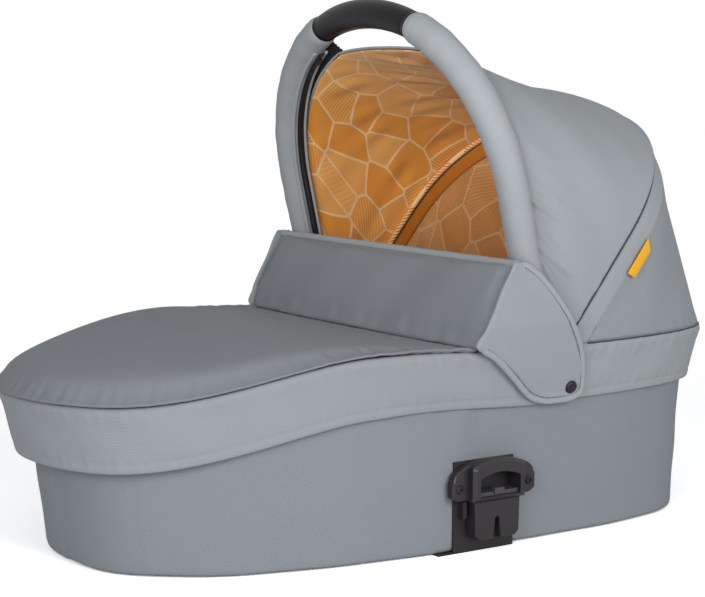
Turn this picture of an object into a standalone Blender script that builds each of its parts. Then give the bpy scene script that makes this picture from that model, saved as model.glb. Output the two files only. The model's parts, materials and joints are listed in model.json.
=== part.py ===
"""Carrycot with a folding hood, a boot cover with a wind flap, and a chassis
adapter on each side.

Metres, +Z up, +X toward the head end. The origin is on the floor below the
middle of the cot.
"""
import bpy
import bmesh
import math
from mathutils import Matrix, Vector

# Sizes
GAP = 0.0003                    # clearance between pieces that touch

COT_LENGTH = 0.84               # over the hem bands, foot to head
RIM_HALF_WIDTH = 0.222          # at the seam on top of the bands
WIDEST_X = -0.060               # where the plan is widest
FOOT_POWER_SHARE = 2.2          # roundness of the foot end
HEAD_POWER_SHARE = 4.6          # squareness of the head end

SEAM_Z_FOOT = 0.1832            # height of the top seam at the foot
SEAM_Z_CREST = 0.2243           # where it is highest, before the wind flap
SEAM_Z_HEAD = 0.2145            # and round the head end
SEAM_RISE_START_X = -0.385      # the seam climbs between these two places
SEAM_RISE_END_X = -0.115
SEAM_FALL_START_X = -0.090      # and falls between these, under the wing
SEAM_FALL_END_X = 0.118

BAND_THICKNESS = 0.004
BAND_DROP_FOOT = 0.0705         # depth of the boot cover's side band
BAND_DROP_MIDDLE = 0.062
BAND_DROP_START_X = -0.250      # it changes from the one to the other between these
BAND_DROP_END_X = 0.050
BAND_DROP_HOOD = 0.0635         # depth of the band round the head end
BAND_TUCK = 0.0135              # how far the hem lies inside the seam
BAND_SPLIT_X = 0.124            # the two bands meet here, under the wing
BAND_SPLIT_GAP = 0.003

BASE_HALF_WIDTH = 0.2034        # the tub at the floor
BASE_FOOT_X = -0.363
BASE_HEAD_X = 0.379
BASE_WIDEST_X = 0.090
BASE_FOOT_POWER_SHARE = 2.6
BASE_HEAD_POWER_SHARE = 4.2
TUB_WALL = 0.006
TUB_EDGE_RADIUS = 0.0045
TUB_EDGE_SHARE = 0.3            # the bottom edge's middle lies in and up by this share
TUB_RIM_TUCK = 0.0180           # the tub's rim lies inside the seam by this
TUB_FOOT_TUCK = 0.0320          # and by this at the foot
TRAY_HEIGHT = 0.0020            # dark base tray that stands on the floor
TRAY_INSET = 0.019
BOARD_THICKNESS = 0.004
BOARD_INSET = 0.020
LINER_THICKNESS = 0.002
MATTRESS_HEIGHT = 0.034
MATTRESS_CROWN = 0.008
MATTRESS_INSET = 0.015
MATTRESS_SIDE_SHARE = 0.2       # of that inset, kept all round its sides
RIM_TUBE_RADIUS = 0.0045
RIM_CLEAR = 0.0008              # over the tub's sloping rim

COVER_THICKNESS = 0.0036        # boot cover's top panel
COVER_CROWN = 0.0295
COVER_EDGE_ROLL = 0.004

FLAP_BASE_X = -0.004            # front face of the wind flap, at its foot
FLAP_TOP_X = 0.049              # and at its top edge
FLAP_TOP_Z = 0.3150
FLAP_THICKNESS = 0.014
FLAP_BULGE = 0.008              # its foot bows toward the foot end by this
FLAP_EDGE_THICKNESS = 0.005
FLAP_OVERHANG = 0.0117          # its ends stand outside the seam by this
FLAP_REST_SHARE = 0.35          # where it thins, the front face takes this share
FLAP_FOOT_CLEAR = 0.0013        # foot edge above the seam, over the cover's crown
WING_THICKNESS = 0.004
WING_CLEAR = 0.0008             # between a wing and the flap's end
WING_BEND_Z = 0.246

HINGE_X = 0.128                 # axis of both hood hoops, along Y
HINGE_Z = 0.224
HUB_RADIUS = 0.0132
HUB_PIN_RADIUS = 0.0042
HUB_CAP_RADIUS = 0.0085
HUB_CAP_THICKNESS = 0.0024
HUB_BASE_THICKNESS = 0.0034
HUB_PLATE_THICKNESS = 0.0036    # rear hoop's eye
BOW_PLATE_THICKNESS = 0.0030    # front bow's eye
HUB_FOOT_DROP = 0.040           # base plate's length below the hinge

BOW_BASE_X = 0.0967             # front bow's line at the height of the hinge
BOW_LEAN = -12.5                # degrees from upright, toward the foot
BOW_RIM_INSET = 0.0045          # its sides stand inside the seam by this
BOW_STRAIGHT = 0.155
BOW_REACH = 0.362
BOW_POWER_SHARE = 2.11
BOW_TUBE_RADIUS = 0.010
BOW_TUBE_START = 0.008
BOW_BORE_CLEAR = 0.0005         # sleeves and grip over the tube
BOW_ARM_HEIGHT = 0.0136
BOW_SLEEVE_START = 0.040
SLEEVE_RADIUS_LOW = 0.0162
SLEEVE_RADIUS_HIGH = 0.0184
GRIP_RADIUS = 0.0155
GRIP_SWELL = 0.0012
GRIP_HALF_LENGTH = 0.092        # measured along the bow from its top
SLEEVE_GAP = 0.0010

HOOP_BASE_X = 0.1420            # rear hoop's line at the height of the hinge
HOOP_LEAN = 38.5
HOOP_RIM_INSET = 0.0060         # outer face of the canopy at the hoop, inside the seam
HOOP_STRAIGHT = 0.134
HOOP_REACH = 0.310
HOOP_POWER_SHARE = 2.3
HOOP_STRIP_WIDTH = 0.012
HOOP_STRIP_THICKNESS = 0.0035
STRIP_CLEAR = 0.0011
HOOP_STRIP_START = 0.012
HOOP_SLEEVE_WIDTH = 0.025
HOOP_SLEEVE_THICKNESS = 0.0020
HOOP_SLEEVE_START = 0.036
HOOP_SLEEVE_DROP = 0.014         # at the top its rear edge lies lower by this
HOOP_PIPING_RADIUS = 0.0022

CANOPY_THICKNESS = 0.003
CANOPY_FRONT_REACH = 0.335      # front edge, a little under the bow's tube
CANOPY_SAG = 0.036              # dip of the front panel between the hoops
CANOPY_SCOOP = 0.010            # hand opening, down from the bow's top
CANOPY_SCOOP_HALF_WIDTH = 0.095
CANOPY_TUCK = 0.002             # dip of the rear panel between hoop and rim
CANOPY_RIM_INSET = 0.0030
DIP_FADE_HEIGHT = 0.080         # the rear panel is straight near the rim
LINING_THICKNESS = 0.0016
LINING_CLEAR = 0.0009           # between a canopy panel and its lining
LINING_LIFT = 0.0024            # its lower edge over the band's top
ZIP_WIDTH = 0.009
ZIP_THICKNESS = 0.0014
ZIP_START = 0.060
ZIP_END_DROP = 0.030
ZIP_SLIDER_LENGTH = 0.011
ZIP_SLIDER_THICKNESS = 0.0024

STUD_X = 0.1430
STUD_Z = 0.1690
STUD_RADIUS = 0.0068
STUD_THICKNESS = 0.0032
STUD_CLEAR = 0.0006

LABEL_LENGTH = 0.048
LABEL_WIDTH = 0.012
LABEL_THICKNESS = 0.0009
LABEL_START = 0.102
LABEL_LIFT = 0.0034             # it lies over the rear panel beside the sleeve

ADAPTER_X = 0.0385
PLATE_SHIFT = -0.0060           # the plate lies off the housing's middle by this
PLATE_THICKNESS = 0.0026
PLATE_HALF_WIDTH = 0.0405
PLATE_TOP_Z = 0.100
FLANGE_OVERHANG = 0.020         # the floor blade runs past the plate toward the foot
FLANGE_SHORT = 0.010            # and stops short of it at the other end
FLANGE_REACH = 0.020
RIB_WIDTH = 0.005               # ribs on the plate on both sides of the tongue
RIB_DEPTH = 0.008
RIB_HEIGHT = 0.018
RIB_CLEAR = 0.004
HOUSING_HALF_WIDTH = 0.0560
HOUSING_BOTTOM_Z = 0.0590
HOUSING_EAR_TOP_Z = 0.0810
HOUSING_SHOULDER_SHARE = 0.975
EAR_DEPTH = 0.0115
BLOCK_DEPTH = 0.0220            # the arched middle stands out in front of the ears
BLOCK_HALF_WIDTH = 0.0352
BLOCK_EDGE = 0.0034
BLOCK_SHOULDER_DROP = 0.0100
HOUSING_TOP_Z = 0.1025
HOUSING_EDGE = 0.0015
EAR_CHAMFER = 0.0045
ARCH_TOP_POWER = 0.9
OPENING_HALF_WIDTH = 0.0270
OPENING_BOTTOM_Z = 0.0625
OPENING_TOP_Z = 0.0830
OPENING_RISE = 0.0060
SCREW_HALF_SPAN = 0.0468
SCREW_Z = 0.0725
SCREW_HEAD_RADIUS = 0.0047
SCREW_HEAD_HEIGHT = 0.0022
SCREW_SOCKET_RADIUS = 0.0022
SCREW_SHANK_RADIUS = 0.0022
SCREW_SHANK_LENGTH = 0.0085
SCREW_HOLE_CLEAR = 0.0004
TONGUE_TOP_HALF = 0.0305
TONGUE_BOTTOM_HALF = 0.0292
TONGUE_BOTTOM_Z = 0.0155
TONGUE_DEPTH = 0.0170
TONGUE_CHAMFER = 0.005
SLOT_BOTTOM_HALF = 0.0046
SLOT_TOP_HALF = 0.0028
SLOT_HEIGHT = 0.024
PIN_RADIUS = 0.0018
PIN_HEIGHT = 0.020
SLIDER_BAR_HEIGHT = 0.0045
SLIDER_SIDE_CLEAR = 0.0006
SLIDER_RECESS = 0.0040
SLIDER_CLIP_HALF = 0.0065
SLIDER_CLIP_HEIGHT = 0.0040
SLIDER_BACK_CLEAR = 0.0030

RING_COUNT = 52
ARCH_COUNT = 25
BOW_SIDES = 12

HALF_LENGTH = COT_LENGTH / 2
FLAP_HALF_WIDTH = RIM_HALF_WIDTH + FLAP_OVERHANG
WING_UPPER_Y = FLAP_HALF_WIDTH + WING_CLEAR     # inner face of the wing above the bend
BOW_HALF_WIDTH = RIM_HALF_WIDTH - BOW_RIM_INSET
HOOP_HALF_WIDTH = RIM_HALF_WIDTH - HOOP_RIM_INSET


# Scene
for old in list(bpy.data.objects):
    bpy.data.objects.remove(old, do_unlink=True)
parts = bpy.data.collections.new("carrycot")
bpy.context.scene.collection.children.link(parts)
cutters = bpy.data.collections.new("cutters")
bpy.context.scene.collection.children.link(cutters)


def linear(channel):
    c = channel / 255
    return c / 12.92 if c <= 0.04045 else ((c + 0.055) / 1.055) ** 2.4


def material(name, rgb, roughness, metallic=0.0):
    found = bpy.data.materials.get(name)
    if found:
        return found
    mat = bpy.data.materials.new(name)
    mat.use_nodes = True
    shader = mat.node_tree.nodes["Principled BSDF"]
    shader.inputs["Base Color"].default_value = [linear(c) for c in rgb] + [1]
    shader.inputs["Roughness"].default_value = roughness
    shader.inputs["Metallic"].default_value = metallic
    return mat


GREY = (146, 152, 158)
DARK_GREY = (124, 129, 134)
LIGHT_GREY = (163, 167, 171)
BLACK = (37, 35, 39)
STEEL = (150, 152, 156)
ORANGE = (153, 93, 29)
DARK_ORANGE = (112, 72, 32)
TAN = (196, 142, 74)


def finish(obj, rgb, roughness, metallic=0.0, smooth=True):
    """Gives an object its material and shading."""
    obj.data.materials.clear()
    obj.data.materials.append(material("mat_" + obj.name, rgb, roughness, metallic))
    if smooth and obj.type == "MESH":
        obj.data.shade_smooth()
        obj.data.set_sharp_from_angle(angle=math.radians(40))
    return obj


def link(name, data, where=None):
    obj = bpy.data.objects.new(name, data)
    (where or parts).objects.link(obj)
    return obj


def solidify(obj, thickness, offset=-1.0):
    mod = obj.modifiers.new("thickness", "SOLIDIFY")
    mod.thickness = thickness
    mod.offset = offset
    mod.use_even_offset = True
    return mod


def grid_mesh(name, rows, closed=False, cap=False, flip=False):
    """Quads between rows of points. closed wraps each row, cap fills row 0."""
    verts = [p for row in rows for p in row]
    wide = len(rows[0])
    faces = []
    for i in range(len(rows) - 1):
        for j in range(wide if closed else wide - 1):
            k = (j + 1) % wide
            a, b = i * wide + j, i * wide + k
            faces.append((a, b, b + wide, a + wide))
    if cap:
        faces.append(tuple(reversed(range(wide))))
    if flip:
        faces = [tuple(reversed(f)) for f in faces]
    mesh = bpy.data.meshes.new(name)
    mesh.from_pydata([tuple(v) for v in verts], [], faces)
    mesh.validate()
    return mesh


def loft(name, rows):
    """A closed solid through closed sections, with flat ends."""
    wide = len(rows[0])
    mesh = grid_mesh(name, rows, closed=True)
    bm = bmesh.new()
    bm.from_mesh(mesh)
    bm.verts.ensure_lookup_table()
    bm.faces.new([bm.verts[j] for j in reversed(range(wide))])
    last = (len(rows) - 1) * wide
    bm.faces.new([bm.verts[last + j] for j in range(wide)])
    bmesh.ops.recalc_face_normals(bm, faces=bm.faces)
    bm.to_mesh(mesh)
    bm.free()
    return link(name, mesh)


# Lines
def resample(points, count):
    """The same line through evenly spaced points."""
    run = [0.0]
    for a, b in zip(points, points[1:]):
        run.append(run[-1] + (b - a).length)
    result = []
    at = 0
    for i in range(count):
        goal = run[-1] * i / (count - 1)
        while at < len(run) - 2 and run[at + 1] < goal:
            at += 1
        span = run[at + 1] - run[at]
        share = (goal - run[at]) / span if span else 0.0
        result.append(points[at].lerp(points[at + 1], share))
    return result


def ease(share):
    share = min(max(share, 0.0), 1.0)
    return share * share * (3 - 2 * share)


def seam_z(x):
    rise = (x - SEAM_RISE_START_X) / (SEAM_RISE_END_X - SEAM_RISE_START_X)
    fall = (x - SEAM_FALL_START_X) / (SEAM_FALL_END_X - SEAM_FALL_START_X)
    return SEAM_Z_FOOT + (SEAM_Z_CREST - SEAM_Z_FOOT) * ease(rise) + (SEAM_Z_HEAD - SEAM_Z_CREST) * ease(fall)


def band_drop(x):
    if x > BAND_SPLIT_X:
        return BAND_DROP_HOOD
    share = (x - BAND_DROP_START_X) / (BAND_DROP_END_X - BAND_DROP_START_X)
    return BAND_DROP_FOOT + (BAND_DROP_MIDDLE - BAND_DROP_FOOT) * ease(share)


def half_plan(half_width, foot_x, head_x, fine=160, shape=(WIDEST_X, FOOT_POWER_SHARE, HEAD_POWER_SHARE)):
    """The far half of the outline, from the foot's tip to the head's."""
    widest, foot_power, head_power = shape
    line = []
    for i in range(fine + 1):
        turn = math.pi / 2 * i / fine
        x = widest - (widest - foot_x) * math.cos(turn) ** (2 / foot_power)
        line.append(Vector((x, half_width * math.sin(turn) ** (2 / foot_power), 0)))
    for i in range(1, fine + 1):
        turn = math.pi / 2 * i / fine
        x = widest + (head_x - widest) * math.sin(turn) ** (2 / head_power)
        y = half_width * abs(math.cos(turn)) ** (2 / head_power)
        line.append(Vector((x, 0.0 if i == fine else y, 0)))
    return line


def mirrored(line):
    return [Vector((p.x, -p.y, p.z)) for p in line]


def plan(half_width, foot_x, head_x, count=RING_COUNT, shape=(WIDEST_X, FOOT_POWER_SHARE, HEAD_POWER_SHARE)):
    """The whole outline, counter-clockwise from the foot's tip."""
    half = resample(half_plan(half_width, foot_x, head_x, 160, shape), count // 2 + 1)
    return mirrored(half) + half[-2:0:-1]


def inset_plan(inset, count=RING_COUNT):
    return plan(RIM_HALF_WIDTH - inset, inset - HALF_LENGTH, HALF_LENGTH - inset, count)


def cut_line(inset, cut_x, head, count):
    """The part of the outline beyond cut_x, from the near side to the far."""
    half = half_plan(RIM_HALF_WIDTH - inset, inset - HALF_LENGTH, HALF_LENGTH - inset, 400)
    if head:
        half = [p for p in half if p.x >= cut_x]
        half[0].x = cut_x
        near = mirrored(half)
        line = near + half[-2::-1]
    else:
        half = [p for p in half if p.x <= cut_x]
        half[-1].x = cut_x
        line = mirrored(half)[::-1] + half[1:]
    return resample(line, count)


def at_height(line, z):
    return [Vector((p.x, p.y, z(p.x) if callable(z) else z)) for p in line]


def arch(base_x, base_z, lean, half_width, start, straight, reach, power_share, count=ARCH_COUNT, fine=120):
    """An arch in a plane along Y that leans by lean degrees, near foot to far.

    It rises straight from start to straight, then closes to reach.
    """
    up = Vector((math.sin(math.radians(lean)), 0, math.cos(math.radians(lean))))
    base = Vector((base_x, 0, base_z))
    half = [(half_width, start)]
    for i in range(fine + 1):
        turn = math.pi / 2 * i / fine
        across = half_width * abs(math.cos(turn)) ** (2 / power_share)
        half.append((0.0 if i == fine else across, straight + (reach - straight) * math.sin(turn) ** (2 / power_share)))
    pts = [base + up * s + Vector((0, -y, 0)) for y, s in half]
    pts += [base + up * s + Vector((0, y, 0)) for y, s in half[-2::-1]]
    return resample(pts, count)


def bow_arch(grow=0.0, start=BOW_TUBE_START, count=ARCH_COUNT):
    return arch(BOW_BASE_X, HINGE_Z, BOW_LEAN, BOW_HALF_WIDTH + grow, start, BOW_STRAIGHT,
                BOW_REACH + grow, BOW_POWER_SHARE, count)


def hoop_arch(grow=0.0, start=HOOP_STRIP_START, count=ARCH_COUNT):
    return arch(HOOP_BASE_X, HINGE_Z, HOOP_LEAN, HOOP_HALF_WIDTH + grow, start, HOOP_STRAIGHT,
                HOOP_REACH + grow, HOOP_POWER_SHARE, count)


def arch_side(lean):
    """Unit vector square to an arch's plane, toward the head end."""
    return Vector((math.cos(math.radians(lean)), 0, -math.sin(math.radians(lean))))


def outward(line, side):
    """Unit vectors in the arch's plane that point away from its middle."""
    result = []
    for i in range(len(line)):
        tangent = line[min(i + 1, len(line) - 1)] - line[max(i - 1, 0)]
        result.append(side.cross(tangent.normalized()).normalized())
    if result[len(line) // 2].z < 0:
        result = [-v for v in result]
    return result


def part_of(line, start, length):
    """The stretch of a line from start for length, measured along it."""
    run = 0.0
    result = []
    for a, b in zip(line, line[1:]):
        step = (b - a).length
        for mark in (start, start + length):
            if run < mark <= run + step:
                result.append(a.lerp(b, (mark - run) / step))
        if start < run + step < start + length:
            result.append(b)
        run += step
    if start <= 0:
        result.insert(0, line[0].copy())
    return result


def line_length(line):
    return sum((b - a).length for a, b in zip(line, line[1:]))


def hoop_drop(out, along, up):
    """How far the hoop's sleeve lies in from the arch, whose top is at up; along runs to its rear."""
    return out * (-HOOP_SLEEVE_DROP * max(out.dot(up), 0.0) ** 2 * along / HOOP_SLEEVE_WIDTH)


def strip(name, line, side, width, thickness, lift=0.0, shift=0.0, outs=None, drop=None):
    """A flat strip along a line: width along side, thickness outward.

    drop is the way up to the hoop's top, for a strip that lies in with its sleeve.
    """
    outs = outs or outward(line, side)
    rows = []
    for p, out in zip(line, outs):
        row = []
        for across, rise in ((-width, -thickness), (width, -thickness), (width, thickness), (-width, thickness)):
            along = shift + across / 2
            row.append(p + side * along + out * (lift + rise / 2)
                       + (hoop_drop(out, along, drop) if drop else Vector((0, 0, 0))))
        rows.append(row)
    obj = loft(name, rows)
    bm = bmesh.new()
    bm.from_mesh(obj.data)
    bmesh.ops.triangulate(bm, faces=bm.faces)
    bm.to_mesh(obj.data)
    bm.free()
    return obj


def round_rows(line, side, radii, sides):
    outs = outward(line, side)
    rows = []
    for p, out, r in zip(line, outs, radii):
        rows.append([p + (side * math.cos(a) + out * math.sin(a)) * r
                     for a in (2 * math.pi * j / sides for j in range(sides))])
    return rows


def outward_normals(obj):
    bm = bmesh.new()
    bm.from_mesh(obj.data)
    bmesh.ops.recalc_face_normals(bm, faces=bm.faces)
    bm.to_mesh(obj.data)
    bm.free()


def tube(name, line, side, radii, sides=12):
    return loft(name, round_rows(line, side, radii, sides))


def hollow_tube(name, line, side, radii, bore, sides=14):
    """A tube with a bore: an outer and an inner skin and a ring at each end."""
    outer = round_rows(line, side, radii, sides)
    inner = round_rows(line, side, [bore] * len(line), sides)
    wide = sides
    n = len(line)
    verts = [p for row in outer + inner for p in row]
    faces = []
    for i in range(n - 1):
        for j in range(wide):
            k = (j + 1) % wide
            a, b = i * wide + j, i * wide + k
            faces.append((a, b, b + wide, a + wide))
            c, d = (n + i) * wide + j, (n + i) * wide + k
            faces.append((c, c + wide, d + wide, d))
    for row in (0, n - 1):
        for j in range(wide):
            k = (j + 1) % wide
            a, b, c, d = row * wide + j, row * wide + k, (n + row) * wide + k, (n + row) * wide + j
            faces.append((a, d, c, b) if row == 0 else (a, b, c, d))
    mesh = bpy.data.meshes.new(name)
    mesh.from_pydata([tuple(v) for v in verts], [], faces)
    obj = link(name, mesh)
    outward_normals(obj)
    return obj


def outline_solid(name, outlines, thickness, edge=0.0, where=None):
    """A flat outline in X and Z, with its holes, from y=0 to y=-thickness."""
    curve = bpy.data.curves.new(name, "CURVE")
    curve.dimensions = "2D"
    curve.fill_mode = "BOTH"
    curve.extrude = thickness / 2 - edge
    curve.bevel_depth = edge
    curve.bevel_resolution = 0
    curve.offset = -edge
    for outline in outlines:
        spline = curve.splines.new("POLY")
        spline.points.add(len(outline) - 1)
        for point, (x, z) in zip(spline.points, outline):
            point.co = (x, z, 0, 1)
        spline.use_cyclic_u = True
    temp = bpy.data.objects.new(name + "_outline", curve)
    parts.objects.link(temp)
    temp.matrix_world = Matrix.Translation((0, -thickness / 2, 0)) @ Matrix.Rotation(math.radians(90), 4, "X")
    bpy.context.view_layer.update()
    mesh = bpy.data.meshes.new_from_object(temp.evaluated_get(bpy.context.evaluated_depsgraph_get()))
    mesh.transform(temp.matrix_world)
    bpy.data.objects.remove(temp, do_unlink=True)
    bm = bmesh.new()
    bm.from_mesh(mesh)
    bmesh.ops.remove_doubles(bm, verts=bm.verts, dist=GAP / 30)
    bmesh.ops.recalc_face_normals(bm, faces=bm.faces)
    bm.to_mesh(mesh)
    bm.free()
    return link(name, mesh, where)


def turned(name, profile, steps=24, where=None):
    """A closed profile of (radius, height) turned about Z."""
    mesh = bpy.data.meshes.new(name)
    n = len(profile)
    mesh.from_pydata([(r, 0, h) for r, h in profile], [(i, i + 1) for i in range(n - 1)], [])
    obj = link(name, mesh, where)
    mod = obj.modifiers.new("turn", "SCREW")
    mod.steps = steps
    mod.render_steps = steps
    mod.use_merge_vertices = True
    mod.merge_threshold = GAP / 30
    return obj


def box(name, low, high, where=None):
    bm = bmesh.new()
    bmesh.ops.create_cube(bm, size=1.0)
    size = [b - a for a, b in zip(low, high)]
    for v in bm.verts:
        v.co = Vector([a + (c + 0.5) * s for a, c, s in zip(low, v.co, size)])
    mesh = bpy.data.meshes.new(name)
    bm.to_mesh(mesh)
    bm.free()
    return link(name, mesh, where)


def disc(name, radius, low_y, high_y, x, z, sides=24, where=None):
    """A disc whose axis is along Y."""
    bm = bmesh.new()
    bmesh.ops.create_cone(bm, cap_ends=True, segments=sides, radius1=radius, radius2=radius, depth=high_y - low_y)
    bmesh.ops.rotate(bm, verts=bm.verts, cent=(0, 0, 0), matrix=Matrix.Rotation(math.radians(90), 3, "X"))
    bmesh.ops.translate(bm, verts=bm.verts, vec=(x, (low_y + high_y) / 2, z))
    mesh = bpy.data.meshes.new(name)
    bm.to_mesh(mesh)
    bm.free()
    return link(name, mesh, where)


def settle(obj):
    """Replaces the object's mesh by its evaluated one."""
    bpy.context.view_layer.update()
    mesh = bpy.data.meshes.new_from_object(obj.evaluated_get(bpy.context.evaluated_depsgraph_get()))
    obj.modifiers.clear()
    obj.data = mesh
    return obj


def combine(obj, other, operation="UNION"):
    """Joins or cuts obj by other, which is used up."""
    for c in list(other.users_collection):
        c.objects.unlink(other)
    cutters.objects.link(other)
    other.hide_render = True
    other.display_type = "WIRE"
    mod = obj.modifiers.new("join", "BOOLEAN")
    mod.operation = operation
    mod.object = other
    mod.solver = "EXACT"
    settle(obj)
    bpy.data.objects.remove(other, do_unlink=True)
    return obj


def set_origin(obj, point):
    """Moves the object's origin to a point and leaves its shape in place."""
    obj.data.transform(Matrix.Translation(-Vector(point)))
    obj.location = point
    return obj


def other_side(obj, name):
    """A mirrored copy across the XZ plane, as its own object."""
    mesh = obj.data.copy()
    mesh.transform(Matrix.Scale(-1, 4, (0, 1, 0)))
    mesh.flip_normals()
    copy = link(name, mesh)
    copy.location = (obj.location.x, -obj.location.y, obj.location.z)
    return copy


# Tub
def tub_z(x):
    return seam_z(x) - COVER_THICKNESS - GAP - 2 * RIM_TUBE_RADIUS - RIM_CLEAR


BASE_SHAPE = (BASE_WIDEST_X, BASE_FOOT_POWER_SHARE, BASE_HEAD_POWER_SHARE)


def tub_ring(share, inset, z):
    """One level of the tub wall; share runs from the floor to the rim."""
    half = BASE_HALF_WIDTH + (RIM_HALF_WIDTH - TUB_RIM_TUCK - BASE_HALF_WIDTH) * share
    foot = BASE_FOOT_X + (TUB_FOOT_TUCK - HALF_LENGTH - BASE_FOOT_X) * share
    head = BASE_HEAD_X + (HALF_LENGTH - TUB_RIM_TUCK - BASE_HEAD_X) * share
    shape = [low + (high - low) * share
             for low, high in zip(BASE_SHAPE, (WIDEST_X, FOOT_POWER_SHARE, HEAD_POWER_SHARE))]
    return at_height(plan(half - inset, foot + inset, head - inset, RING_COUNT, shape), z)


TUB_FLOOR_Z = TRAY_HEIGHT + GAP
TUB_LEVEL_SHARES = (0.10, 0.32, 0.55, 0.78, 1.0)


def wall_half(x, z):
    """Half width of the tub's wall where its rim is as high as at x, at height z."""
    share = (z - TUB_FLOOR_Z) / (tub_z(x) - TUB_FLOOR_Z)
    return BASE_HALF_WIDTH + (RIM_HALF_WIDTH - TUB_RIM_TUCK - BASE_HALF_WIDTH) * share


rows = [tub_ring(0.0, TUB_EDGE_RADIUS, TUB_FLOOR_Z),
        tub_ring(0.0, TUB_EDGE_RADIUS * TUB_EDGE_SHARE, TUB_FLOOR_Z + TUB_EDGE_RADIUS * TUB_EDGE_SHARE)]
for share in TUB_LEVEL_SHARES:
    rows.append(tub_ring(share, 0.0, lambda x, s=share: TUB_FLOOR_Z + (tub_z(x) - TUB_FLOOR_Z) * s))
tub = link("tub_shell", grid_mesh("tub_shell", rows, closed=True, cap=True))
solidify(tub, TUB_WALL)
settle(tub)
outward_normals(tub)
finish(tub, GREY, 0.9)

tray_ring = plan(BASE_HALF_WIDTH - TRAY_INSET, BASE_FOOT_X + TRAY_INSET, BASE_HEAD_X - TRAY_INSET, 48, BASE_SHAPE)
finish(loft("base_tray", [at_height(tray_ring, 0.0), at_height(tray_ring, TRAY_HEIGHT)]), BLACK, 0.6)

board_low = TUB_FLOOR_Z + TUB_WALL + GAP
board_ring = plan(BASE_HALF_WIDTH - BOARD_INSET, BASE_FOOT_X + BOARD_INSET, BASE_HEAD_X - BOARD_INSET, 48,
                  BASE_SHAPE)
finish(loft("base_board", [at_height(board_ring, board_low), at_height(board_ring, board_low + BOARD_THICKNESS)]),
       (120, 110, 98), 0.7)

liner_low = board_low + BOARD_THICKNESS + GAP
LINER_LEVEL_SHARES = (0.14,) + TUB_LEVEL_SHARES[1:-1] + (0.985,)


def liner_line(share):
    return tub_ring(share, TUB_WALL + GAP * 2, lambda x: TUB_FLOOR_Z + (tub_z(x) - TUB_FLOOR_Z) * share)


liner = link("tub_liner", grid_mesh("tub_liner", [liner_line(s) for s in LINER_LEVEL_SHARES], closed=True))
solidify(liner, LINER_THICKNESS)
settle(liner)
outward_normals(liner)
finish(liner, ORANGE, 0.9)

MATTRESS_LEVEL_SHARES = ((0.6, 0.0), (0.0, 0.18), (0.0, 0.80), (0.45, 0.97))
rows = []
for tuck, level in MATTRESS_LEVEL_SHARES:
    inset = TUB_WALL + LINER_THICKNESS + MATTRESS_INSET * (MATTRESS_SIDE_SHARE + tuck)
    rows.append(at_height(plan(BASE_HALF_WIDTH - inset, BASE_FOOT_X + inset, BASE_HEAD_X - inset, 40, BASE_SHAPE),
                          liner_low + MATTRESS_HEIGHT * level))
inner = [Vector((p.x * 0.6, p.y * 0.6, liner_low + MATTRESS_HEIGHT + MATTRESS_CROWN * 0.6)) for p in rows[-1]]
centre = [Vector((p.x * 0.2, p.y * 0.2, liner_low + MATTRESS_HEIGHT + MATTRESS_CROWN)) for p in rows[-1]]
finish(loft("mattress", rows + [inner, centre]), (222, 216, 204), 0.95)

rim = []
RIM_SIDES = 6
rim_inset = RIM_TUBE_RADIUS + GAP
rim_line = plan(RIM_HALF_WIDTH - TUB_RIM_TUCK - rim_inset, TUB_FOOT_TUCK + rim_inset - HALF_LENGTH,
                HALF_LENGTH - TUB_RIM_TUCK - rim_inset)
for i, p in enumerate(rim_line):
    ahead = rim_line[(i + 1) % len(rim_line)] - rim_line[i - 1]
    out = Vector((ahead.y, -ahead.x, 0)).normalized()
    centre_z = seam_z(p.x) - COVER_THICKNESS - GAP - RIM_TUBE_RADIUS
    rim.append([Vector((p.x, p.y, centre_z)) + (out * math.cos(a) + Vector((0, 0, 1)) * math.sin(a)) * RIM_TUBE_RADIUS
                for a in (2 * math.pi * j / RIM_SIDES for j in range(RIM_SIDES))])
rim_tube = link("rim_frame", grid_mesh("rim_frame", rim + [rim[0]], closed=True))
bm = bmesh.new()
bm.from_mesh(rim_tube.data)
bmesh.ops.remove_doubles(bm, verts=bm.verts, dist=GAP / 30)
bmesh.ops.recalc_face_normals(bm, faces=bm.faces)
bm.to_mesh(rim_tube.data)
bm.free()
finish(rim_tube, STEEL, 0.4, 1.0)


# Bands
BAND_LEVEL_SHARES = ((0.0, 1.0), (0.30, 0.66), (0.72, 0.30), (1.0, 0.0))


def band(name, cut_x, head, count, rgb):
    """A skirt from the top seam down to its hem; it tucks in below."""
    rows = []
    for drop, tuck in BAND_LEVEL_SHARES:
        line = cut_line(BAND_TUCK * (1 - tuck), cut_x, head, count)
        rows.append(at_height(line, lambda x, d=drop: seam_z(x) - GAP - COVER_THICKNESS * (0 if head else 1)
                              - (band_drop(x) - COVER_THICKNESS) * d))
    rows.reverse()
    obj = link(name, grid_mesh(name, rows, flip=not head))
    solidify(obj, BAND_THICKNESS)
    settle(obj)
    return finish(obj, rgb, 0.9)


band("cover_band", BAND_SPLIT_X - BAND_SPLIT_GAP, False, 49, LIGHT_GREY)
band("hood_band", BAND_SPLIT_X, True, 37, GREY)

# The boot cover's top panel: rings from the seam in to the middle.
back_x = FLAP_BASE_X + FLAP_THICKNESS
edge_line = cut_line(0.0, back_x, False, 33)
back = [Vector((back_x, edge_line[-1].y * (1 - 2 * i / 8), 0)) for i in range(1, 8)]
loop = edge_line + back
COVER_RING_SHARES = ((1.0, 0.0), (0.985, 0.26), (0.93, 0.60), (0.80, 0.88), (0.58, 0.95), (0.30, 1.0), (0.08, 1.0))
middle_x = (back_x - HALF_LENGTH) / 2
COVER_FADE_RUN = 0.380          # the crown dies away over this before the flap
COVER_FADE_SHARE = 0.02


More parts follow.
